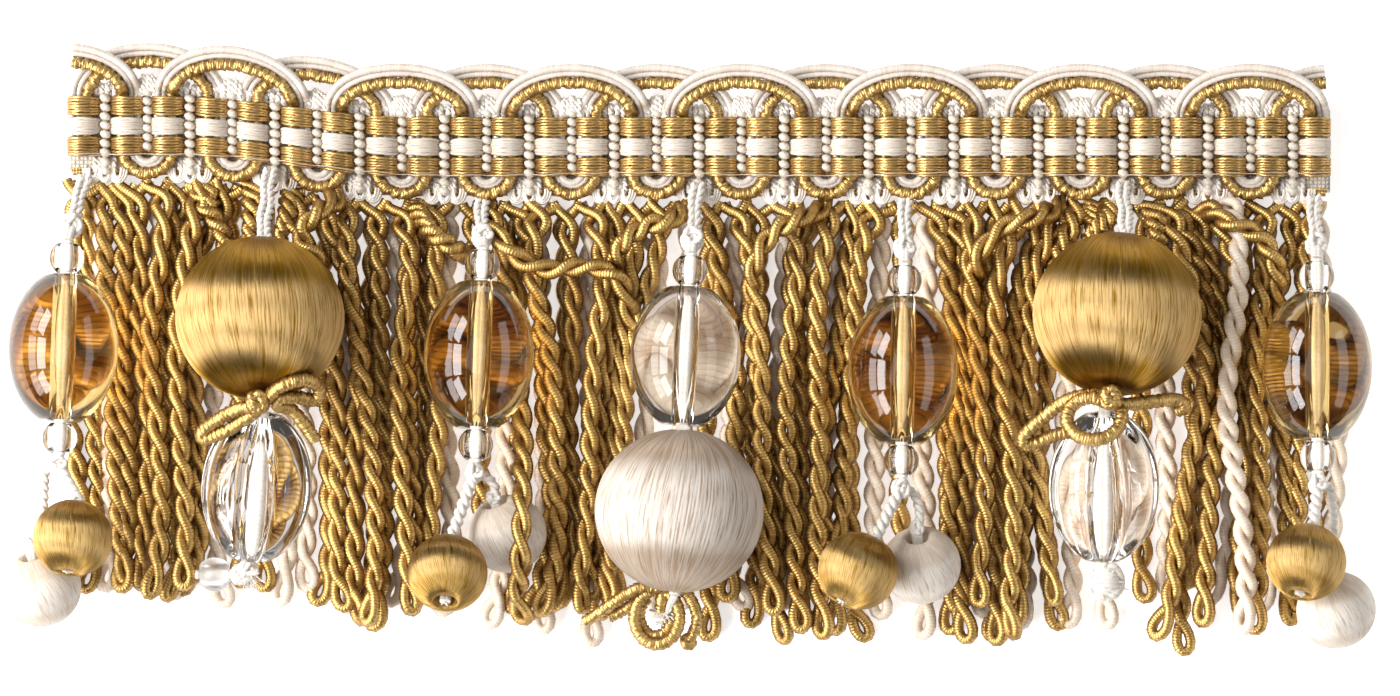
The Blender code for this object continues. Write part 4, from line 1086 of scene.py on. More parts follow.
# Further gold cords that lie over the first layer: places (along, below) down each of them.
COVERING_CORDS = (
    ((6.1, -2.8), (5.6, 10.0), (6.6, 25.0), (7.6, 42.0), (7.9, 57.0)),
    ((8.2, -2.5), (8.0, 8.0), (8.3, 20.0), (8.9, 40.0), (8.8, 58.0)),
    ((19.8, -2.9), (20.6, 1.0), (22.6, 3.4), (23.8, 8.0), (24.6, 13.0)),
    ((27.6, -2.8), (27.2, 1.5), (26.6, 6.0), (26.2, 12.0)),
    ((33.6, -2.0), (32.2, 2.0), (31.0, 6.0), (30.6, 12.0)),
    ((34.4, -1.5), (33.6, 3.0), (36.6, 9.0), (39.0, 22.0), (40.2, 40.0), (39.4, 61.0)),
    ((54.4, 0.1), (54.2, 8.0), (54.9, 20.0), (54.3, 38.0), (53.4, 60.0)),
    ((84.5, 0.1), (83.6, 8.0), (82.2, 20.0), (80.8, 36.0), (79.0, 60.0)),
    ((87.9, 0.1), (87.0, 7.0), (84.8, 16.0), (82.6, 30.0), (81.6, 41.0), (78.0, 62.0)),
    ((120.0, 0.1), (117.4, 8.0), (115.8, 20.0), (115.0, 38.0), (114.4, 52.0)),
    ((127.2, 0.1), (130.2, 10.0), (131.6, 26.0), (130.6, 44.0), (130.0, 61.0)),
    ((148.4, 0.1), (144.8, 6.0), (142.4, 14.0), (141.8, 30.0), (144.0, 44.0), (146.0, 60.0)),
    ((155.2, 0.1), (153.6, 2.6), (151.4, 5.0), (150.4, 12.0)),
    ((152.2, 0.1), (151.6, 5.0), (151.2, 12.0)),
    ((149.6, 0.1), (147.8, 4.2), (146.2, 8.0), (145.4, 14.0), (145.4, 19.0)),
    ((160.2, 0.1), (160.8, 4.0), (161.4, 8.0), (162.0, 14.0)),
    ((162.6, 0.1), (167.0, 8.0), (169.0, 20.0), (166.0, 38.0), (162.6, 58.0)),
    ((184.1, 0.1), (183.2, 8.0), (182.4, 20.0), (182.0, 34.0), (180.8, 61.0)),
)
# Cords that stray across the others under the heading, and then go down behind a bead.
STRAY_CORDS = (
    ((50.8, 0.6), (54.0, 4.6), (57.4, 6.6), (59.8, 8.6)),
    ((61.6, 0.4), (64.6, 6.4), (70.0, 9.6), (77.0, 9.4), (82.0, 12.0), (83.2, 22.0)),
    ((40.6, -1.4), (37.0, 1.4), (34.6, 5.0), (37.4, 9.4), (38.8, 16.0)),
    ((92.0, 0.6), (88.6, 2.6), (85.0, 3.6), (81.6, 7.0), (80.4, 14.0)),
    ((113.0, 0.4), (107.6, 2.6), (103.6, 5.6), (101.6, 10.0), (101.0, 18.0)),
    ((147.0, 0.4), (142.6, 2.6), (138.0, 4.2), (134.4, 8.6), (133.6, 16.0)),
    ((167.4, 0.4), (171.0, 3.2), (175.6, 5.0), (178.6, 9.4), (179.2, 18.0)),
)
# Gold cords on the floor behind the first gold drop's oval and the first amber one.
LOW_CORDS = (
    ((28.6, -2.6), (28.4, 6.0), (28.2, 20.0), (28.4, 36.0), (28.9, 58.0)),
    ((2.2, -2.8), (0.4, 6.0), (-0.2, 18.0), (0.2, 30.0), (1.6, 42.0), (2.2, 57.0)),
)
# A cream cord that comes out from under the heading and lies over the gold ones.
FRONT_CREAM_CORD = (
    (170.6, -0.6, 1.4), (172.6, 2.6, 6.4), (173.0, 8.0, 9.6), (172.6, 14.0, 9.9),
    (171.4, 22.0, 9.9), (171.1, 31.0, 9.9), (172.2, 38.0, 9.9), (173.2, 46.0, 9.8),
    (173.6, 55.0, 9.6), (173.8, 64.0, 9.0),
)
# A gold cord that lies over the second amber drop's cream ball.
OVER_BALL_CORD = (
    (63.0, 0.1, 1.8), (63.6, 8.0, 4.4), (66.4, 20.0, 4.8), (67.4, 32.0, 6.6),
    (67.3, 39.0, 10.6), (67.0, 45.0, 14.6), (66.8, 51.0, 15.2), (66.6, 56.0, 12.6),
    (66.0, 62.5, 7.6),
)
LOW_HEIGHT = 1.5
COVERING_HEIGHT = 4.4
STRAY_HEIGHT = 8.6
GOLD_ROOT_HEIGHT = 1.8
STRAY_END_HEIGHT = 1.6
# First-layer cords moved sideways behind the beads: row, number in it, and how far.
BEHIND_BEADS = (
    ("cream", 0, -1.2), ("cream", 3, 2.8), ("gold", 7, 1.2),
    ("cream", 8, 1.0), ("cream", 21, -1.6), ("gold", 22, 2.2), ("cream", 25, 1.4),
)
MOVED_SHARES = (0.0, 0.5, 1.0, 1.0, 1.0, 1.0, 0.6)
ROOT_THREADS_BELOW = (-1.9, -1.35)
ROOT_THREAD_STEP = 0.9
# Height and radius of the threads that hold the roots.
CREAM_ROOT_THREAD = (0.55, 0.5)
GOLD_ROOT_THREAD = (1.8, 0.4)
FRINGE_SIDES = 7
FRINGE_SEED = 5


def extra_cords(chance):
    """The covering, the straying and the low gold cords, each rising off the root strip."""
    lines = []
    for cords, level, end_level in (
        (COVERING_CORDS, COVERING_HEIGHT, COVERING_HEIGHT),
        (STRAY_CORDS, STRAY_HEIGHT, STRAY_END_HEIGHT),
        (LOW_CORDS, LOW_HEIGHT, LOW_HEIGHT),
    ):
        for places in cords:
            heights = [GOLD_ROOT_HEIGHT] + [level] * (len(places) - 2) + [end_level]
            stations = [(*place, height) for place, height in zip(places, heights)]
            lines.append(fringe_ply(stations, chance))
    return lines


def root_strip(height, radius):
    """Threads that run along the heading and hold the fringe's roots."""
    lines = []
    for below in ROOT_THREADS_BELOW:
        alongs = np.arange(0.6, HEADING_LENGTH - 0.5, ROOT_THREAD_STEP)
        lines.append(with_radius(np.column_stack((
            alongs, below - heading_rises(alongs) + 0.08 * np.sin(alongs * 2.1),
            np.full(len(alongs), height),
        )), radius))
    return lines


def fringe_pieces():
    """The two fringes, each of looped cords on its root strip."""
    cream, gold_back, gold_middle, gold_front = lay_fringe()
    for cords, number, moved in BEHIND_BEADS:
        rows = {"cream": cream, "gold": gold_back}[cords]
        rows[number] = [
            (along + moved * share, below, height)
            for (along, below, height), share in zip(rows[number], MOVED_SHARES)
        ]
    chance = random.Random(FRINGE_SEED)
    lines = [fringe_ply(cord, chance, floor_layer=True) for cord in cream]
    lines.append(fringe_ply(FRONT_CREAM_CORD, chance))
    lines += root_strip(*CREAM_ROOT_THREAD)
    dress(wind("cream_fringe_cords", lines, "cream_strand", FRINGE_SIDES),
          "cream_silk", "fringe_cream")
    lines = [fringe_ply(cord, chance, floor_layer=True) for cord in gold_back]
    lines += [fringe_ply(cord, chance) for cord in gold_middle + gold_front]
    lines += extra_cords(chance)
    lines.append(fringe_ply(OVER_BALL_CORD, chance))
    lines += root_strip(*GOLD_ROOT_THREAD)
    dress(wind("gold_fringe_cords", lines, "gold_strand", FRINGE_SIDES),
          "gold_silk", "fringe_gold")


# Heading

GimpCord = namedtuple("GimpCord", "out bend_out radius spacing wobble")
GIMP_GOLD_CORD = GimpCord(-0.72, -0.85, 0.86, 0.2, 0.06)
GIMP_SATIN_CORDS = (GimpCord(1.5, 0.85, 0.6, 0.45, 0.0), GimpCord(0.58, 0.3, 0.5, 0.45, 0.0))
ARCH_STEPS = 60
BEND_STEPS = 24
LEG_STEPS = 12
FIRST_LEG_STEPS = 10
CROWN_START = 0.55 * math.pi
CROWN_END = 0.45 * math.pi
LIFT_ANGLE = 0.35
# A space between legs that is narrower than this lies in a bend.
NARROW_SPACE = 6.2
GIMP_SEED = 17
BAND_SEED = 29
KNOB_SEED = 53
PICOT_SEED = 61

BAND_THREADS = 7
BAND_THREAD_RADIUS = 0.25
BAND_LOW = 2.55
BAND_HIGH = 4.78
BAND_CUSHION = 2.42
BAND_SQUEEZE = 0.18

KNOB_PITCH = 1.33
# One knob as a short slanting bar: (aside, below, up, radius) at each of its points.
KNOB = (
    (-0.62, -0.24, -0.1, 0.36), (-0.34, -0.14, 0.1, 0.62), (0.34, 0.16, -0.06, 0.62),
    (0.64, 0.28, -0.3, 0.34),
)
KNOB_HEIGHT = 3.5
LOW_KNOB_HEIGHT = 3.0
LOW_KNOBS_BELOW = -3.5
NARROW_COLUMN = (-13.1, -4.5)
WIDE_COLUMN = (-12.2, -1.0)
KNOB_CORE_HEIGHT = 2.9
KNOB_CORE_RADIUS = 0.42

Twist = namedtuple("Twist", "ply across up pitch")
EDGE_TWIST = Twist(0.29, 0.26, 0.22, 1.5)
# Edge threads start at inner and end at outer, or at peak in the middle of their group.
EdgeThreads = namedtuple("EdgeThreads", "inner outer peak height count")
BEND_TOP_THREADS = EdgeThreads(-12.6, -14.5, -15.2, 3.2, 5)
BEND_SIDE_THREADS = EdgeThreads(-12.6, -14.1, -14.6, 2.7, 4)
ARCH_TOP_THREADS = EdgeThreads(-12.6, -13.7, -14.2, 2.6, 6)
ARCH_FOOT_THREADS = EdgeThreads(-3.4, -1.7, -1.1, 2.1, 6)
BEND_TOP_HALF_WIDTH = 1.35
BEND_SIDE_HALF_WIDTH = 1.2
BEND_SIDE_ASIDE = 2.5
ARCH_TOP_INSET = 0.6
ARCH_FOOT_INSET = 1.6
Picot = namedtuple("Picot", "half_width top foot height loops radius")
SIDE_PICOT = Picot(1.35, -1.9, 0.25, 2.5, 3, 0.24)
SIDE_PICOT_ASIDE = 1.85
MIDDLE_PICOT = Picot(0.9, -1.4, 0.15, 2.7, 2, 0.22)

# The cloth's outline from under its top edge round to above it: (below, height).
GROUND_OUTLINE = (
    (GROUND_TOP + 0.5, 0.02), (TAPE_FOOT - 0.3, 0.02), (TAPE_FOOT, 0.5), (TAPE_FOOT, 1.6),
    (TAPE_FOOT - 0.4, 2.15), (-5.0, TAPE_THICKNESS), (-9.0, TAPE_THICKNESS),
    (-12.5, TAPE_THICKNESS), (GROUND_TOP + 0.5, 2.1), (GROUND_TOP, 1.6), (GROUND_TOP, 0.5),
)
GROUND_STEPS = 220
SEWING_BELOW = -4.1
SEWING_HEIGHTS = (4.5, 5.0)
SEWING_CUSHION = 2.4
SEWING_RADIUS = 0.06


def leg_rows(along, start, end, first, steps):
    """The places along one upright leg of a gimp, from start to end."""
    return [(along, start + (end - start) * step / steps, 0.0, 0.0)
            for step in range(first, steps)]


def gimp_route(first_arch, starts_at_crown, ends_at_crown):
    """The middle line of one wavy gimp as rows of (along, below, lift, bend share)."""
    rows = []
    bend_radius = GIMP_PERIOD / 2 - ARCH_HALF_SPAN
    for arch in range(ARCH_COUNT):
        centre = first_arch + arch * GIMP_PERIOD
        last = arch == ARCH_COUNT - 1
        start = CROWN_START if arch == 0 and starts_at_crown else 0.0
        end = CROWN_END if last and ends_at_crown else math.pi
        if arch == 0 and not starts_at_crown:
            rows += leg_rows(centre - ARCH_HALF_SPAN, LEG_FOOT, ARCH_FOOT, 0, FIRST_LEG_STEPS)
        for angle in np.linspace(start, end, ARCH_STEPS):
            lift = smoothstep(min(angle, math.pi - angle) / LIFT_ANGLE)
            rows.append((centre - ARCH_HALF_SPAN * math.cos(angle),
                         ARCH_FOOT - ARCH_HEIGHT * math.sin(angle), lift, 0.0))
        if end < math.pi:
            continue
        rows += leg_rows(centre + ARCH_HALF_SPAN, ARCH_FOOT, LEG_FOOT, 1, LEG_STEPS)
        if last:
            continue
        for angle in np.linspace(0.0, math.pi, BEND_STEPS):
            rows.append((centre + GIMP_PERIOD / 2 - bend_radius * math.cos(angle),
                         LEG_FOOT + BEND_DEPTH * math.sin(angle), 0.0, math.sin(angle)))
        rows += leg_rows(centre + GIMP_PERIOD - ARCH_HALF_SPAN, LEG_FOOT, ARCH_FOOT, 1,
                         LEG_STEPS)
    return np.array(rows)


def gimp_cord(route, cord, lift, chance):
    """One cord of a gimp, laid beside its middle line, on the outside of an arch or inside."""
    ahead = np.gradient(route[:, :2], axis=0)
    ahead /= np.linalg.norm(ahead, axis=1)[:, None]
    outward = np.column_stack((ahead[:, 1], -ahead[:, 0]))
    offset = cord.out + (cord.bend_out - cord.out) * route[:, 3]
    places = route[:, :2] + outward * offset[:, None]
    line = even_points(np.column_stack((
        places[:, 0], places[:, 1] - heading_rises(places[:, 0]),
        GIMP_FLOOR + cord.radius + route[:, 2] * lift,
    )), cord.spacing)
    run = lengths_of(line)
    wave = chance.uniform(0.0, math.tau)
    line[:, 0] += cord.wobble * np.sin(run * 1.3 + wave)
    line[:, 1] += cord.wobble * np.sin(run * 1.7 + wave * 2)
    return with_radius(line, cord.radius)


def gimps():
    """Both gimps: two satin cords and one wound gold cord each, front over back."""
    chance = random.Random(GIMP_SEED)
    for node, first, lift, starts_at_crown, ends_at_crown in (
        ("gimp_front", FRONT_GIMP_FIRST_ARCH, CROSSING_LIFT, True, False),
        ("gimp_back", BACK_GIMP_FIRST_ARCH, 0.0, False, True),
    ):
        route = gimp_route(first, starts_at_crown, ends_at_crown)
        gold = gimp_cord(route, GIMP_GOLD_CORD, lift, chance)
        dress(wind(node + "_gold_cord", [gold], "gold_gimp", 12, GIMP_LUMPS),
              "gold_silk", node)
        satin = [gimp_cord(route, cord, lift, chance) for cord in GIMP_SATIN_CORDS]
        dress(wind(node + "_satin_cords", satin, "cream_gimp", 10), "cream_silk", node)


def leg_middles():
    """Where the gimps' upright legs stand along the heading."""
    legs = []
    for first in (FRONT_GIMP_FIRST_ARCH, BACK_GIMP_FIRST_ARCH):
        for arch in range(ARCH_COUNT):
            for side in (-ARCH_HALF_SPAN, ARCH_HALF_SPAN):
                leg = first + arch * GIMP_PERIOD + side
                if 0.0 < leg < HEADING_LENGTH:
                    legs.append(leg)
    return sorted(legs)


def spaces():
    """The space between each two legs: its middle, half its width, and whether it is narrow."""
    legs = leg_middles()
    return [((left + right) / 2, (right - left) / 2, right - left < NARROW_SPACE)
            for left, right in zip(legs, legs[1:])]


def cushion(alongs, low, high, half_width):
    """Heights of a thread that runs over the legs and dives between them."""
    heights = np.full(len(alongs), low)
    for leg in leg_middles():
        share = np.clip(np.abs(alongs - leg) / half_width, 0.0, 1.0)
        heights = np.maximum(heights, low + (high - low) * (1 - share ** 2.4) ** 0.55)
    return heights


def band_thread(top, foot, share, chance):
    """One thread of a silk band, at its share of the band's width."""
    alongs = np.arange(0.05, HEADING_LENGTH, 0.55)
    waves = [chance.uniform(0.0, math.tau) for _ in range(3)]
    middle = (top + foot) / 2
    over = cushion(alongs, BAND_LOW, BAND_HIGH, BAND_CUSHION)
    squeeze = 1.0 - BAND_SQUEEZE * (1 - (over - BAND_LOW) / (BAND_HIGH - BAND_LOW))
    belows = middle + (top + (foot - top) * share - middle) * squeeze
    belows += 0.05 * np.sin(alongs * 1.1 + waves[0]) + 0.03 * np.sin(alongs * 2.7 + waves[1])
    heights = over + 0.06 * np.sin(alongs * 0.9 + waves[2])
    return with_radius(np.column_stack((alongs, belows - heading_rises(alongs), heights)),
                       BAND_THREAD_RADIUS * chance.uniform(0.92, 1.08))


def silk_bands():
    """The gold, cream and gold bands, each of silk threads laid side by side."""
    chance = random.Random(BAND_SEED)
    for name, top, foot in BAND_LIMITS:
        colour = "gold" if "gold" in name else "cream"
        threads = [band_thread(top, foot, (thread + 0.5) / BAND_THREADS, chance)
                   for thread in range(BAND_THREADS)]
        dress(wind(name + "_threads", threads, colour + "_thread", 6), colour + "_silk", name)


def pair_lines(centre, twist, start=0.0, hand=1.0):
    """Two plies twisted round each other along a route; both lines with their radii."""
    run = lengths_of(centre)
    across, up = across_and_up(centre)
    phase = start + hand * math.tau * run / twist.pitch
    turn = (across * (twist.across * np.sin(phase))[:, None]
            + up * (twist.up * np.cos(phase))[:, None])
    return [with_radius(centre + turn, twist.ply), with_radius(centre - turn, twist.ply)]


def knobbly_columns():
    """Cream cords of small knobs that stand between the legs, over the bands' sunken threads."""
    chance = random.Random(KNOB_SEED)
    lines = []
    for middle, _, narrow in spaces():
        top, foot = NARROW_COLUMN if narrow else WIDE_COLUMN
        rise = heading_rise(middle)
        for below in np.arange(top, foot, KNOB_PITCH):
            height = KNOB_HEIGHT if below < LOW_KNOBS_BELOW else LOW_KNOB_HEIGHT
            aside = chance.uniform(-0.06, 0.06)
            lines.append(np.array([
                (middle + side + aside, below - rise + down, height + up, radius)
                for side, down, up, radius in KNOB
            ]))
        core = [(middle, below - rise, KNOB_CORE_HEIGHT)
                for below in (top, (top + foot) / 2, foot)]
        lines.append(plain_line(core, KNOB_CORE_RADIUS))
    return lines


def edge_twists(middle, half_width, threads, chance):
    """Short twisted threads side by side that fill the ground's edge and curl over it."""
    lines = []
    for place in range(threads.count):
        share = (place + 0.5) / threads.count * 2 - 1
        along = middle + half_width * share
        reach = math.sqrt(max(0.0, 1 - share * share))
        end = threads.outer + (threads.peak - threads.outer) * reach
        end += chance.uniform(-0.25, 0.25)
        rise = heading_rise(along)
        lean = chance.uniform(-0.2, 0.2)
        curl = math.copysign(0.12, threads.inner - end)
        stops = [
            (along, threads.inner - rise, threads.height),
            (along + lean, (threads.inner + end) / 2 - rise, threads.height + 0.5),
            (along + lean * 0.5, end - rise, threads.height + 0.1),
            (along + lean * 0.5, end - rise + curl, threads.height - 0.7),
        ]
        lines += pair_lines(smooth_route(stops, 0.34), EDGE_TWIST, chance.uniform(0.0, 6.0))
    return lines


def bump_loops(middle, picot):
    """Nested fine loops that make one picot."""
    lines = []
    for loop in range(picot.loops):
        half_width = picot.half_width * (1.0 - 0.3 * loop)
        depth = (picot.foot - picot.top) * (1 - 0.14 * loop)
        angles = np.linspace(0.0, math.pi, 12)
        alongs = middle - half_width * np.cos(angles)
        lines.append(with_radius(np.column_stack((
            alongs, picot.top + depth * np.sin(angles) - heading_rises(alongs),
            picot.height + 0.12 * loop + 0.25 * np.sin(angles),
        )), picot.radius))
    return lines


def picots():
    """Fine cream loops and twists along both edges of the ground, between the gimps' bends."""
    lines = []
    chance = random.Random(PICOT_SEED)
    for middle, half, narrow in spaces():
        if narrow:
            lines += edge_twists(middle, BEND_TOP_HALF_WIDTH, BEND_TOP_THREADS, chance)
            for aside in (-BEND_SIDE_ASIDE, BEND_SIDE_ASIDE):
                lines += edge_twists(middle + aside, BEND_SIDE_HALF_WIDTH,
                                     BEND_SIDE_THREADS, chance)
        else:
            lines += edge_twists(middle, half - ARCH_TOP_INSET, ARCH_TOP_THREADS, chance)
            lines += edge_twists(middle, half - ARCH_FOOT_INSET, ARCH_FOOT_THREADS, chance)
            for aside in (-SIDE_PICOT_ASIDE, SIDE_PICOT_ASIDE):
                lines += bump_loops(middle + aside, SIDE_PICOT)
            lines += bump_loops(middle, MIDDLE_PICOT)
    return lines


def ground():
    """The woven cream ground, as a slab of cloth with soft edges."""
    points = []
    for step in range(GROUND_STEPS + 1):
        along = HEADING_LENGTH * step / GROUND_STEPS
        rise = heading_rise(along)
        points += [(along, below - rise, height) for below, height in GROUND_OUTLINE]
    faces = []
    size = len(GROUND_OUTLINE)
    for step in range(GROUND_STEPS):
        near, far = step * size, (step + 1) * size
        for corner in range(size):
            following = (corner + 1) % size
            faces.append((near + corner, near + following, far + following, far + corner))
    faces.append(tuple(range(size)))
    faces.append(tuple(range(GROUND_STEPS * size, (GROUND_STEPS + 1) * size)))
    mesh = closed_mesh("woven_ground", world(points), faces)
    mesh.materials.append(FINISHES["ground_cloth"])
    return link_piece("woven_ground", mesh)


def sewing_line():
    """The slack thread that a machine left across the bends."""
    alongs = np.arange(0.3, HEADING_LENGTH - 0.2, 0.5)
    slack = 0.2 * np.sin(alongs * 0.13) + 0.08 * np.sin(alongs * 0.9 + 1.0)
    return with_radius(np.column_stack((
        alongs, SEWING_BELOW + slack - heading_rises(alongs),
        cushion(alongs, *SEWING_HEIGHTS, SEWING_CUSHION),
    )), SEWING_RADIUS)


def heading():
    """The ground with its edges and columns, the bands, and both gimps."""
    tape = dress(ground(), "cream_cotton", "heading_tape")
    columns = dress(wind("knobbly_columns", knobbly_columns(), "cream_cotton", 6),
                    "cream_cotton", "heading_tape")
    edges = dress(wind("picot_edges", picots(), "edge_cotton", 5), "cream_cotton", "heading_tape")
    sewing = dress(wind("sewing_thread", [sewing_line()], "cream_thread", 5),
                   "cream_cotton", "heading_tape")
    silk_bands()
    gimps()


# Beads and balls

Bead = namedtuple("Bead", "radius half_length rim sides steps")
OVAL = Bead(OVAL_RADIUS, OVAL_HALF_LENGTH, OVAL_RIM, 96, 40)
CREAM_DROP_OVAL = OVAL._replace(half_length=CREAM_DROP_OVAL_HALF_LENGTH)
SMALL_BEAD = Bead(BEAD_RADIUS, BEAD_HALF_LENGTH, BORE_RADIUS + 0.2, 40, 20)
Ball = namedtuple("Ball", "radius half_length rim bore threads steps")
LARGE_BALL = Ball(BALL_RADIUS, BALL_HALF_LENGTH, BALL_RIM, BORE_RADIUS + 0.05, 140, 30)
SMALL_BALL = Ball(SMALL_BALL_RADIUS, SMALL_BALL_HALF_LENGTH, BALL_RIM + 0.25,
                  BORE_RADIUS + 0.35, 66, 16)
LARGE_BALL_SLANT = 0.35
SMALL_BALL_SLANT = 0.5
THREAD_DEPTH_SHARE = 0.006
RIB_DEPTH_SHARE = 0.055
OVAL_RIBS = 8
FROSTED_BEAD_RIBS = 6
# Glass whose bore is clear, so that the string in it isn't tinted twice.
TINTED_GLASS = ("amber_glass", "pale_grey_glass")


def axis_direction(turn, dip):
    """The direction (along, below, height) from a bead's lower end to its upper end."""
    turn = math.radians(turn)
    dip = math.radians(dip)
    return np.array((
        math.sin(turn) * math.cos(dip), -math.cos(turn) * math.cos(dip), -math.sin(dip),
    ))


def map_fibres(mesh, laid):
    """Keeps where the fibres lie on a ball, as an attribute and as a UV map without a tear."""
    layer = mesh.attributes.new("laid", "FLOAT_VECTOR", "POINT")
    vectors = np.column_stack((laid, np.zeros(len(laid)))).astype(np.float32)
    layer.data.foreach_set("vector", vectors.ravel())
    uv_map = mesh.uv_layers.new(name=LAID_MAP)
    corner_points = np.zeros(len(mesh.loops), dtype=np.int32)
    mesh.loops.foreach_get("vertex_index", corner_points)
    corners = laid[corner_points].reshape(-1, 4, 2)
    across = corners[:, :, 0]
    torn = (across.max(axis=1) - across.min(axis=1)) > 0.5
    across[torn] = np.where(across[torn] < 0.5, across[torn] + 1.0, across[torn])
    uv_map.data.foreach_set("uv", corners.reshape(-1).astype(np.float32))


def turned(name, centre, lie, outline, sides, reach_at, slant=0.0):
    """The mesh of a closed body turned about a bead's axis.

    outline holds (radius, height, share) from the upper rim round the outside and back through
    the bore, where share is None. reach_at(side, share) scales the outside, and slant turns it
    as share goes from 0 to 1.
    """
    axis = Vector((lie[0], -lie[1], lie[2]))
    turn = np.array(axis.to_track_quat("Z", "X").to_matrix())
    size = len(outline)
    angles = np.arange(sides) * math.tau / sides
    points = np.zeros((sides, size, 3))
    laid = np.zeros((sides, size, 2))
    laid[:, :, 0] = (np.arange(sides) / sides)[:, None]
    for corner, (radius, height, share) in enumerate(outline):
        reach = radius if share is None else radius * reach_at(np.arange(sides), share)
        level = 0.0 if share is None else share
        twist = slant * (level - 0.5)
        points[:, corner, 0] = reach * np.cos(angles + twist)
        points[:, corner, 1] = reach * np.sin(angles + twist)
        points[:, corner, 2] = height
        laid[:, corner, 1] = level
    near = np.arange(sides)[:, None] * size
    far = (np.arange(1, sides + 1) % sides)[:, None] * size
    corners = np.arange(size)[None, :]
    following = (corners + 1) % size
    faces = np.stack((near + corners, near + following, far + following, far + corners), axis=2)
    places = points.reshape(-1, 3) @ turn.T * MM + world([centre])[0]
    mesh = closed_mesh(name, places, faces.reshape(-1, 4).tolist())
    map_fibres(mesh, laid.reshape(-1, 2))
    return mesh


def bead_outline(shape, bore):
    """Rings of a bead's outside from its upper rim to its lower rim, then the bore."""
    radius, half_length, rim = shape.radius, shape.half_length, shape.rim
    start = math.asin(rim / radius)
    outline = []
    for step in range(shape.steps + 1):
        share = step / shape.steps
        angle = start + (math.pi - 2 * start) * share
        outline.append((radius * math.sin(angle),
                        half_length * math.cos(angle) / math.cos(start), share))
    lip = (rim - bore) * 0.5
    return outline + [
        (rim - lip, -half_length + 0.15, None), (bore, -half_length + 0.5, None),
        (bore, half_length - 0.5, None), (rim - lip, half_length - 0.15, None),
    ]


def silk_ball(node, centre, lie, ball, slant, seed, finish, slot):
    """A turned ball covered with silk threads from pole to pole."""
    chance = np.random.default_rng(seed)
    depth = ball.radius * THREAD_DEPTH_SHARE
    thread_height = chance.uniform(0.45, 1.0, ball.threads)
    waves = chance.uniform(0.0, math.tau, ball.threads)

    def reach_at(side, share):
        """Each thread has one groove and two crests, and its height comes and goes."""
        thread = side // 3
        crest = np.where(side % 3 == 0, 0.0, 1.0)
        slow = 0.5 + 0.5 * np.sin(waves[thread] + share * 9.0)
        ends = min(1.0, 6.0 * min(share, 1.0 - share) + 0.25)
        rise = crest * thread_height[thread] * (0.6 + 0.4 * slow) - 1.0
        return 1.0 + depth * ends * rise / ball.radius

    name = node + "_wound"
    mesh = turned(name, centre, lie, bead_outline(ball, ball.bore), ball.threads * 3, reach_at,
                  slant)
    mesh.materials.append(FINISHES[finish])
    dress(link_piece(name, mesh), slot, node)


def glass_bead(node, centre, lie, bead, finish, slot="clear_glass", ribs=0):
    """A moulded glass bead with its bore, and with shallow ribs round it where asked."""
    def reach_at(side, share):
        """The ribs are deepest halfway down the bead."""
        if not ribs:
            return np.ones(len(side))
        crests = np.abs(np.cos(side * math.pi * ribs / bead.sides)) ** 0.7
        return 1.0 - RIB_DEPTH_SHARE * (1.0 - crests) * math.sin(math.pi * share) ** 0.5

    name = node + "_glass"
    outline = bead_outline(bead, BORE_RADIUS)
    mesh = turned(name, centre, lie, outline, bead.sides, reach_at)
    mesh.materials.append(FINISHES[finish])
    if finish in TINTED_GLASS:
        mesh.materials.append(FINISHES["clear_glass"])
        in_bore = [share is None for _, _, share in outline]
        mesh.polygons.foreach_set("material_index", np.tile(in_bore, bead.sides).astype(np.int32))
    dress(link_piece(name, mesh), slot, node)


# Strings, knots and bows

STRING_TWIST = Twist(0.52, 0.46, 0.46, 2.8)
BRANCH_TWIST = Twist(0.42, 0.36, 0.36, 2.4)
TWIN_TWIST = Twist(0.36, 0.36 * 0.92, 0.36 * 0.92, 2.6)
STRING_STEP = 0.3
BOW_STEP = 0.15
THIN_STRING_RADIUS = 0.8
END_STRING_RADIUS = 0.55
TWIN_SPREAD = 0.62
GOLD_DROP_TWIN_SPREAD = 0.66
ROOT_TUCK = (0.0, -1.2, -0.6)
# Where a knot lies on its string, as a share of the way down.
AMBER_KNOT_SHARE = 0.74
CREAM_DROP_KNOT_SHARE = 0.8
BRANCH_KNOT_SHARE = 0.85
# How far inside a small ball's lower end its string and its tuft end.
STRING_INSIDE = 0.2
TUFT_INSIDE = 0.9
CREAM_BALL_SEED = 40
Knot = namedtuple("Knot", "radius turns ply squash", defaults=(1.0,))
AMBER_UPPER_KNOT = Knot(1.75, 4, 0.42, 1.15)
AMBER_LOWER_KNOT = Knot(1.5, 3, 0.4, 1.2)
BRANCH_KNOT = Knot(1.2, 3, 0.36)
CREAM_DROP_KNOT = Knot(1.8, 4, 0.42, 1.15)
END_KNOTS = (Knot(1.7, 4, 0.42), Knot(1.6, 3, 0.4))
BALL_KNOTS = (Knot(2.95, 16, 0.5), Knot(2.2, 8, 0.95))
BALL_KNOT_CORE = 2.7
BOW_KNOT = Knot(1.9, 3, 0.7)
RING_BOW_KNOT = Knot(1.35, 3, 0.6)
Tuft = namedtuple("Tuft", "length spread ends radius")
BALL_TUFT = Tuft(1.0, 0.5, 14, 0.11)
END_KNOT_TUFT = Tuft(3.2, 0.7, 36, 0.07)
BALL_KNOT_TUFT = Tuft(3.3, 1.5, 60, 0.07)
CREAM_DROP_TUFT = Tuft(2.4, 1.4, 44, 0.12)
TIE_OFFSET = (0.4, 0.0, 4.6)
DROP_SEED = 71
CREAM_DROP_END_OFFSET = (-1.2, 3.0, -3.8)
BOW_RADIUS = 1.0
RING_RADIUS = 0.92
RING_TAIL_RADIUS = 0.88
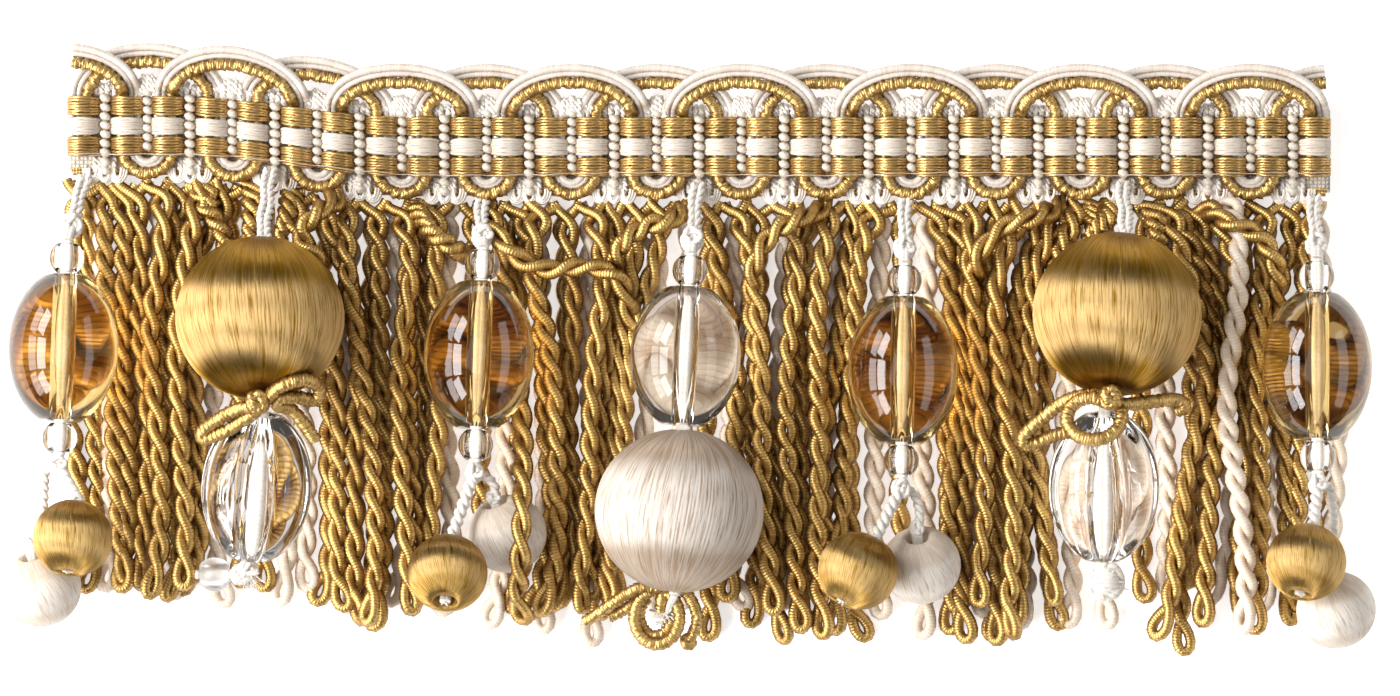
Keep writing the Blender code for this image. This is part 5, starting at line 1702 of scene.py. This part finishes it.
# Rings of the cream drop's bow: middle, radii, height over the ball's middle, start and turns.
BOW_RINGS = (
    ((87.1, 61.2), (3.3, 4.0), -2.2, -0.28, 1.02),
    ((86.9, 61.0), (2.4, 3.0), -3.7, 0.05, 0.62),
)
# The tails of that bow; heights are counted from the ball's middle.
RING_BOW_TAILS = (
    ((87.6, 56.9, -1.6), (84.8, 56.8, -1.4), (82.6, 57.8, -1.8), (80.2, 59.4, -2.6),
     (78.2, 60.8, -3.4), (76.7, 61.8, -4.2)),
    ((86.2, 57.4, -3.4), (83.8, 59.0, -3.6), (81.8, 60.4, -4.2), (80.0, 61.2, -4.6)),
    ((88.4, 57.0, -2.8), (90.6, 57.0, -2.4), (92.2, 58.8, -2.6), (93.0, 61.0, -3.0),
     (92.7, 63.0, -3.6), (91.7, 64.8, -4.2)),
    ((87.9, 57.0, -2.6), (87.8, 58.6, -2.6), (87.6, 60.2, -3.2)),
)
KNOTTED_TAIL = 2


def plain_line(stops, radius, spacing=0.5):
    """One round cord through its stops."""
    return with_radius(smooth_route(stops, spacing), radius)


def twisted(stops, twist):
    """A two-ply cord through its stops."""
    return pair_lines(smooth_route(stops, STRING_STEP), twist)


def twin_cords(stops, apart):
    """Two two-ply cords side by side, as a doubled string."""
    centre = smooth_route(stops, STRING_STEP)
    across, _ = across_and_up(centre)
    run = lengths_of(centre)
    lines = []
    for side in (-1.0, 1.0):
        spread = side * apart * (0.75 + 0.25 * np.sin(run * 0.9 + side))
        lines += pair_lines(centre + across * spread[:, None], TWIN_TWIST, side * 0.8, -1.0)
    return lines


def through(start, end, radius=STRING_RADIUS):
    """A straight doubled string through a bead."""
    start, end = np.asarray(start), np.asarray(end)
    line = np.array([start + (end - start) * share for share in np.linspace(0.0, 1.0, 24)])
    half = radius * 0.26
    return [with_radius(line + np.array((side * half, 0.0, 0.0)), radius * 0.8)
            for side in (-1.0, 1.0)]


def knot(centre, tied, chance):
    """A tied knot: a few turns of cord wrapped over each other, and a coil inside them."""
    centre = np.asarray(centre)
    lines = []
    for turn in range(tied.turns):
        tilt = chance.uniform(-0.5, 0.5) + turn * math.pi / tied.turns
        lean = chance.uniform(0.3, 1.0)
        rise = math.sqrt(max(0.0, 1 - lean * lean)) * 0.8
        points = []
        for angle in np.linspace(0.0, math.tau * 1.15, 26):
            x, y = math.cos(angle), math.sin(angle)
            flat = np.array((
                x * math.cos(tilt) - y * math.sin(tilt) * lean,
                (x * math.sin(tilt) + y * math.cos(tilt) * lean) * tied.squash,
                y * rise + 0.25 * math.cos(angle * 2),
            ))
            reach = (tied.radius - tied.ply) * (1.0 + 0.06 * math.sin(angle * 3))
            points.append(centre + flat * reach)
        lines.append(with_radius(np.array(points), tied.ply))
    coil = [
        centre + np.array((
            math.cos(angle) * 0.35, math.sin(angle) * 0.35 * tied.squash,
            (angle / math.tau - 0.8) * 0.5,
        )) * tied.radius
        for angle in np.linspace(0.0, math.tau * 1.6, 18)
    ]
    lines.append(with_radius(np.array(coil), tied.ply * 1.3))
    return lines


def filled_core(centre, radius):
    """The filled middle of a ball knot, under its turns."""
    reach = np.linspace(-0.97, 0.97, 9) * radius
    return np.column_stack((
        np.full(len(reach), centre[0]), centre[1] + reach, np.full(len(reach), centre[2]),
        np.sqrt(radius * radius - reach * reach),
    ))


def tuft(centre, direction, yarn, chance):
    """Frayed yarn ends."""
    lines = []
    direction = np.asarray(direction, dtype=float)
    direction /= np.linalg.norm(direction)
    for _ in range(yarn.ends):
        aim = direction + np.array([chance.uniform(-yarn.spread, yarn.spread) for _ in range(3)])
        aim /= np.linalg.norm(aim)
        bend = np.array([chance.uniform(-0.4, 0.4) for _ in range(3)])
        reach = yarn.length * chance.uniform(0.5, 1.0)
        line = np.array([
            np.asarray(centre) + aim * reach * share + bend * reach * share * share
            for share in np.linspace(0.0, 1.0, 6)
        ])
        lines.append(with_radius(line, yarn.radius))
    return lines


def on_ball(stops):
    """Stops whose heights are counted from a large ball's middle, as places on the trim."""
    return np.array(stops) + np.array((0.0, 0.0, BALL_HEIGHT))


def ring_line(centre, radii, height, start, turns):
    """Part of an oval ring of bow cord; start and turns are shares of a full turn."""
    stops = [
        (centre[0] + radii[0] * math.cos(math.tau * share),
         centre[1] + radii[1] * math.sin(math.tau * share), height + 0.3 * math.sin(share * 9.0))
        for share in np.linspace(start, start + turns, 16)
    ]
    return plain_line(on_ball(stops), RING_RADIUS, BOW_STEP)


def ring_bow(chance):
    """The cream drop's bow: a doubled ring, two tails to its left and a knotted one right."""
    lines = [ring_line(*ring) for ring in BOW_RINGS]
    lines += [plain_line(on_ball(tail), RING_TAIL_RADIUS, BOW_STEP) for tail in RING_BOW_TAILS]
    tail_end = on_ball(RING_BOW_TAILS[KNOTTED_TAIL])[-1]
    return lines + knot(tail_end, RING_BOW_KNOT, chance)


def bow_piece(drop, lines):
    """The bow of wound gimp cord that stands for a drop's bow."""
    dress(wind(drop.name + "_bow_wound", lines, "gold_gimp", 12, BOW_LUMPS),
          "gold_silk", drop.name + "_bow")


def string_piece(node, lines):
    """White string that stands for one of a drop's cords."""
    dress(wind(node + "_twist", lines, "white_cotton", 8), "cream_cotton", node)


# The three kinds of drop

def amber_string(drop, ends, gold_ball, gold_lie, chance):
    """An amber drop's main string; ends are those of the stretch through its three beads."""
    top, foot, lower_knot = ends
    root = np.array((drop.root[0], drop.root[1] - heading_rise(drop.root[0]), ROOT_CORD_HEIGHT))
    upper_knot = root + (top - root) * AMBER_KNOT_SHARE
    gold_top = gold_ball + gold_lie * (SMALL_BALL_HALF_LENGTH + STRING_END)
    lines = twin_cords([root + np.array(ROOT_TUCK), root, root + (top - root) * 0.4,
                        upper_knot], TWIN_SPREAD)
    lines += knot(upper_knot, AMBER_UPPER_KNOT, chance)
    lines += through(upper_knot, top) + through(top, foot)
    lines += knot(lower_knot, AMBER_LOWER_KNOT, chance)
    lines += twisted([lower_knot, lower_knot + (gold_top - lower_knot) * 0.5, gold_top],
                     STRING_TWIST)
    lines += through(gold_top, gold_ball - gold_lie * (SMALL_BALL_HALF_LENGTH - STRING_INSIDE),
                     THIN_STRING_RADIUS)
    lines += tuft(gold_ball - gold_lie * (SMALL_BALL_HALF_LENGTH - TUFT_INSIDE), -gold_lie,
                  BALL_TUFT, chance)
    string_piece(drop.name + "_cord", lines)


def amber_branch(drop, lower_knot, cream_ball, cream_lie, chance):
    """The string that leaves an amber drop's lower knot for its cream ball."""
    cream_top = cream_ball + cream_lie * (SMALL_BALL_HALF_LENGTH + STRING_END)
    aside = math.copysign(BRANCH_ASIDE, cream_top[0] - lower_knot[0])
    branch = lower_knot + np.array((aside, BRANCH_BELOW, -BRANCH_DEPTH))
    sag = branch + (cream_top - branch) * 0.5 + np.array((BRANCH_SAG, 0.0, 0.0))
    lines = twisted([branch - np.array((aside * 0.5, 0.3, -0.7)), branch, sag, cream_top],
                    BRANCH_TWIST)
    lines += knot(branch + (cream_top - branch) * BRANCH_KNOT_SHARE, BRANCH_KNOT, chance)
    foot = cream_ball - cream_lie * (SMALL_BALL_HALF_LENGTH - STRING_INSIDE)
    lines += through(cream_top, foot, THIN_STRING_RADIUS)
    string_piece(drop.name + "_cream_cord", lines)


def amber_drop(drop, chance):
    """An amber oval between two small clear beads, with a gold and a cream ball below it."""
    oval = np.array((*drop.oval, OVAL_HEIGHT))
    lie = axis_direction(drop.turn, OVAL_DIP)
    bead_offset = OVAL_HALF_LENGTH + CLEARANCE + BEAD_HALF_LENGTH
    upper_bead = oval + lie * bead_offset
    lower_bead = oval - lie * bead_offset
    glass_bead(drop.name + "_oval", oval, lie, OVAL, "amber_glass", "amber_glass")
    glass_bead(drop.name + "_upper_bead", upper_bead, lie, SMALL_BEAD, "clear_glass")
    glass_bead(drop.name + "_lower_bead", lower_bead, lie, SMALL_BEAD, "clear_glass")
    gold_ball = np.array((*drop.gold_ball, GOLD_BALL_HEIGHT))
    gold_lie = axis_direction(drop.gold_turn, drop.gold_dip)
    cream_ball = np.array((*drop.cream_ball, CREAM_BALL_HEIGHT))
    cream_lie = axis_direction(drop.cream_turn, drop.cream_dip)
    seed = int(drop.name[-1])
    silk_ball(drop.name + "_gold_ball", gold_ball, gold_lie, SMALL_BALL, SMALL_BALL_SLANT, seed,
              "small_gold_ball_silk", "gold_silk")
    silk_ball(drop.name + "_cream_ball", cream_ball, cream_lie, SMALL_BALL, SMALL_BALL_SLANT,
              seed + 10, "small_cream_ball_silk", "cream_silk")
    top = upper_bead + lie * (BEAD_HALF_LENGTH + STRING_END)
    foot = lower_bead - lie * (BEAD_HALF_LENGTH + STRING_END)
    lower_knot = foot - lie * KNOT_RADIUS
    amber_string(drop, (top, foot, lower_knot), gold_ball, gold_lie, chance)
    amber_branch(drop, lower_knot, cream_ball, cream_lie, chance)


def end_bead_and_knots(drop, oval_foot, chance):
    """The frosted bead, the two knots and the yarn ends at the foot of the first gold drop."""
    bead = oval_foot + np.array(END_BEAD_OFFSET)
    bead_lie = axis_direction(90.0, 0.0)
    glass_bead(drop.name + "_end_bead", bead, bead_lie, SMALL_BEAD, "frosted_glass",
               ribs=FROSTED_BEAD_RIBS)
    places = [oval_foot + np.array(offset) for offset in END_KNOT_OFFSETS]
    lines = []
    for place, tied in zip(places, END_KNOTS):
        lines += knot(place, tied, chance)
    lines += through(places[1], bead - bead_lie * (BEAD_HALF_LENGTH + STRING_END))
    return lines + tuft(places[0], (0.2, 1.0, 0.2), END_KNOT_TUFT, chance)


def ball_knot(oval_foot, chance):
    """The ball knot and its yarn ends at the foot of the second gold drop."""
    middle = oval_foot + np.array(BALL_KNOT_OFFSET) * 0.7
    lines = []
    for tied in BALL_KNOTS:
        lines += knot(middle, tied, chance)
    lines.append(filled_core(middle, BALL_KNOT_CORE))
    return lines + tuft(middle, (0.0, 0.4, 0.6), BALL_KNOT_TUFT, chance)


def gold_drop(drop, chance):
    """A large gold ball, a gimp bow, a clear oval and an end knot."""
    ball = np.array((*drop.ball, BALL_HEIGHT))
    ball_lie = axis_direction(drop.ball_turn, BALL_DIP)
    oval = np.array((*drop.oval, OVAL_HEIGHT))
    oval_lie = axis_direction(drop.oval_turn, -BALL_DIP)
    silk_ball(drop.name + "_ball", ball, ball_lie, LARGE_BALL, LARGE_BALL_SLANT,
              int(drop.name[-1]) + 20, "gold_ball_silk", "gold_silk")
    glass_bead(drop.name + "_oval", oval, oval_lie, OVAL, "clear_glass", ribs=OVAL_RIBS)
    tie = ball - ball_lie * (BALL_HALF_LENGTH + 0.6) + np.array(TIE_OFFSET)
    bow = [plain_line(on_ball(drop.bow), BOW_RADIUS, BOW_STEP)]
    bow_piece(drop, bow + knot(tie, BOW_KNOT, chance))
    root = np.array((*drop.root, LOW_ROOT_HEIGHT))
    top = ball + ball_lie * (BALL_HALF_LENGTH + STRING_END)
    foot = ball - ball_lie * (BALL_HALF_LENGTH + STRING_END)
    oval_top = oval + oval_lie * (OVAL_HALF_LENGTH + STRING_END)
    oval_foot = oval - oval_lie * (OVAL_HALF_LENGTH + STRING_END)
    lines = twin_cords([root, root + (top - root) * 0.5, top, top - ball_lie * 1.2],
                       GOLD_DROP_TWIN_SPREAD)
    lines += through(top, foot) + through(foot, oval_top) + through(oval_top, oval_foot)
    if drop.end_bead:
        lines += end_bead_and_knots(drop, oval_foot, chance)
    else:
        lines += ball_knot(oval_foot, chance)
    string_piece(drop.name + "_cord", lines)


def cream_drop(drop, chance):
    """A small clear bead, a clear oval, a large cream ball and a gimp bow."""
    oval = np.array((*drop.oval, OVAL_HEIGHT))
    oval_lie = axis_direction(drop.oval_turn, OVAL_DIP)
    bead = oval + oval_lie * (CREAM_DROP_OVAL_HALF_LENGTH + CLEARANCE + BEAD_HALF_LENGTH)
    ball = np.array((*drop.ball, BALL_HEIGHT))
    ball_lie = axis_direction(drop.ball_turn, 0.0)
    glass_bead(drop.name + "_bead", bead, oval_lie, SMALL_BEAD, "clear_glass")
    glass_bead(drop.name + "_oval", oval, oval_lie, CREAM_DROP_OVAL, "pale_grey_glass")
    silk_ball(drop.name + "_ball", ball, ball_lie, LARGE_BALL, -LARGE_BALL_SLANT,
              CREAM_BALL_SEED, "cream_ball_silk", "cream_silk")
    bow_piece(drop, ring_bow(chance))
    root = np.array((*drop.root, LOW_ROOT_HEIGHT))
    top = bead + oval_lie * (BEAD_HALF_LENGTH + STRING_END)
    oval_foot = oval - oval_lie * (CREAM_DROP_OVAL_HALF_LENGTH + TIGHT_END)
    ball_top = ball + ball_lie * (BALL_HALF_LENGTH + TIGHT_END)
    foot = ball - ball_lie * (BALL_HALF_LENGTH + STRING_END)
    end = foot + np.array(CREAM_DROP_END_OFFSET)
    upper_knot = root + (top - root) * CREAM_DROP_KNOT_SHARE
    lines = twin_cords([root, root + (top - root) * 0.4, upper_knot], TWIN_SPREAD)
    lines += knot(upper_knot, CREAM_DROP_KNOT, chance)
    for upper, lower in ((upper_knot, top), (top, oval_foot), (oval_foot, ball_top),
                         (ball_top, foot)):
        lines += through(upper, lower)
    lines += through(foot, end, END_STRING_RADIUS)
    lines += tuft(end, (0.0, 0.3, 0.6), CREAM_DROP_TUFT, chance)
    string_piece(drop.name + "_cord", lines)


# Floor, light and camera

FLOOR_REACH = 1.2
FLOOR_GLOW = 0.55
SURROUNDING_COLOUR = (1.0, 0.99, 0.97, 1.0)
SURROUNDING_LIGHT = 0.08
# The panes of the large light to the left: along, height and power of each column.
PANE_ROWS = (-0.88, 0.0, 0.88)
PANE_COLUMNS = ((-1.43, 0.61, 7.2), (-1.09, 1.05, 13.8))
PANE_SIZE = (0.78, 0.48)
# The picture is FRAME_WIDTH metres wide at MEASURED_HEIGHT above the floor.
CAMERA_HEIGHT = 2.0
MEASURED_HEIGHT = 0.012
FRAME_WIDTH = 0.206
FRAME_CENTRE = (0.00164, 0.00044)
SENSOR_WIDTH = 36.0


def area_light(name, spot, aim, size, power):
    """A soft panel of white light at a spot, turned to what it aims at."""
    lamp = bpy.data.lights.new(name, "AREA")
    lamp.shape = "RECTANGLE"
    lamp.size, lamp.size_y = size
    lamp.energy = power
    holder = bpy.data.objects.new(name, lamp)
    bpy.context.scene.collection.objects.link(holder)
    holder.location = spot
    direction = Vector(aim) - Vector(spot)
    holder.rotation_euler = direction.to_track_quat("-Z", "Y").to_euler()


def paper_floor():
    """A pale sheet of paper under the trim."""
    mesh = bpy.data.meshes.new("floor")
    corners = [(-1, -1), (1, -1), (1, 1), (-1, 1)]
    mesh.from_pydata([(x * FLOOR_REACH, y * FLOOR_REACH, 0) for x, y in corners], [],
                     [(0, 1, 2, 3)])
    made, wiring, shader = plain_finish("floor_paper", 0.9)
    place = wiring.add("ShaderNodeTexCoord").outputs["Object"]
    mottle = wiring.noise(place, scale=40.0, detail=3.0)
    shade = wiring.blend(mottle, (0.93, 0.93, 0.93, 1.0), (0.95, 0.95, 0.95, 1.0))
    wiring.join(shade, shader.inputs["Base Color"])
    shader.inputs["Emission Color"].default_value = (1.0, 1.0, 1.0, 1.0)
    shader.inputs["Emission Strength"].default_value = FLOOR_GLOW
    mesh.materials.append(made)
    link_piece("floor", mesh)


def studio():
    """A pale floor, a large light to the left, a weaker one to the right, and soft fill."""
    paper_floor()
    surroundings = bpy.data.worlds.new("studio")
    bpy.context.scene.world = surroundings
    surroundings.use_nodes = True
    backdrop = surroundings.node_tree.nodes["Background"]
    backdrop.inputs["Color"].default_value = SURROUNDING_COLOUR
    backdrop.inputs["Strength"].default_value = SURROUNDING_LIGHT
    for row, below in enumerate(PANE_ROWS):
        for column, (along, height, power) in enumerate(PANE_COLUMNS):
            area_light(f"left_pane_{row}_{column}", (along, below, height),
                       (0.0, below * 0.2, 0.0), PANE_SIZE, power)
    area_light("right_panel", (0.78, 0.0, 0.5), (0.0, 0.0, 0.0), (1.3, 0.34), 3.0)
    area_light("overhead_fill", (-0.2, 0.1, 1.5), (0.0, 0.0, 0.0), (1.0, 0.9), 3.8)


def camera():
    """The camera looks straight down, as the picture was taken."""
    eye = bpy.data.cameras.new("camera")
    eye.sensor_width = SENSOR_WIDTH
    eye.lens = eye.sensor_width * (CAMERA_HEIGHT - MEASURED_HEIGHT) / FRAME_WIDTH
    eye.clip_end = 10.0
    holder = bpy.data.objects.new("camera", eye)
    bpy.context.scene.collection.objects.link(holder)
    holder.location = (*FRAME_CENTRE, CAMERA_HEIGHT)
    bpy.context.scene.camera = holder
    bpy.context.scene.view_settings.view_transform = "Standard"


studio()
camera()
heading()
fringe_pieces()
hands = random.Random(DROP_SEED)
for amber in AMBER_DROPS:
    amber_drop(amber, hands)
for gold in GOLD_DROPS:
    gold_drop(gold, hands)
cream_drop(CREAM_DROP, hands)
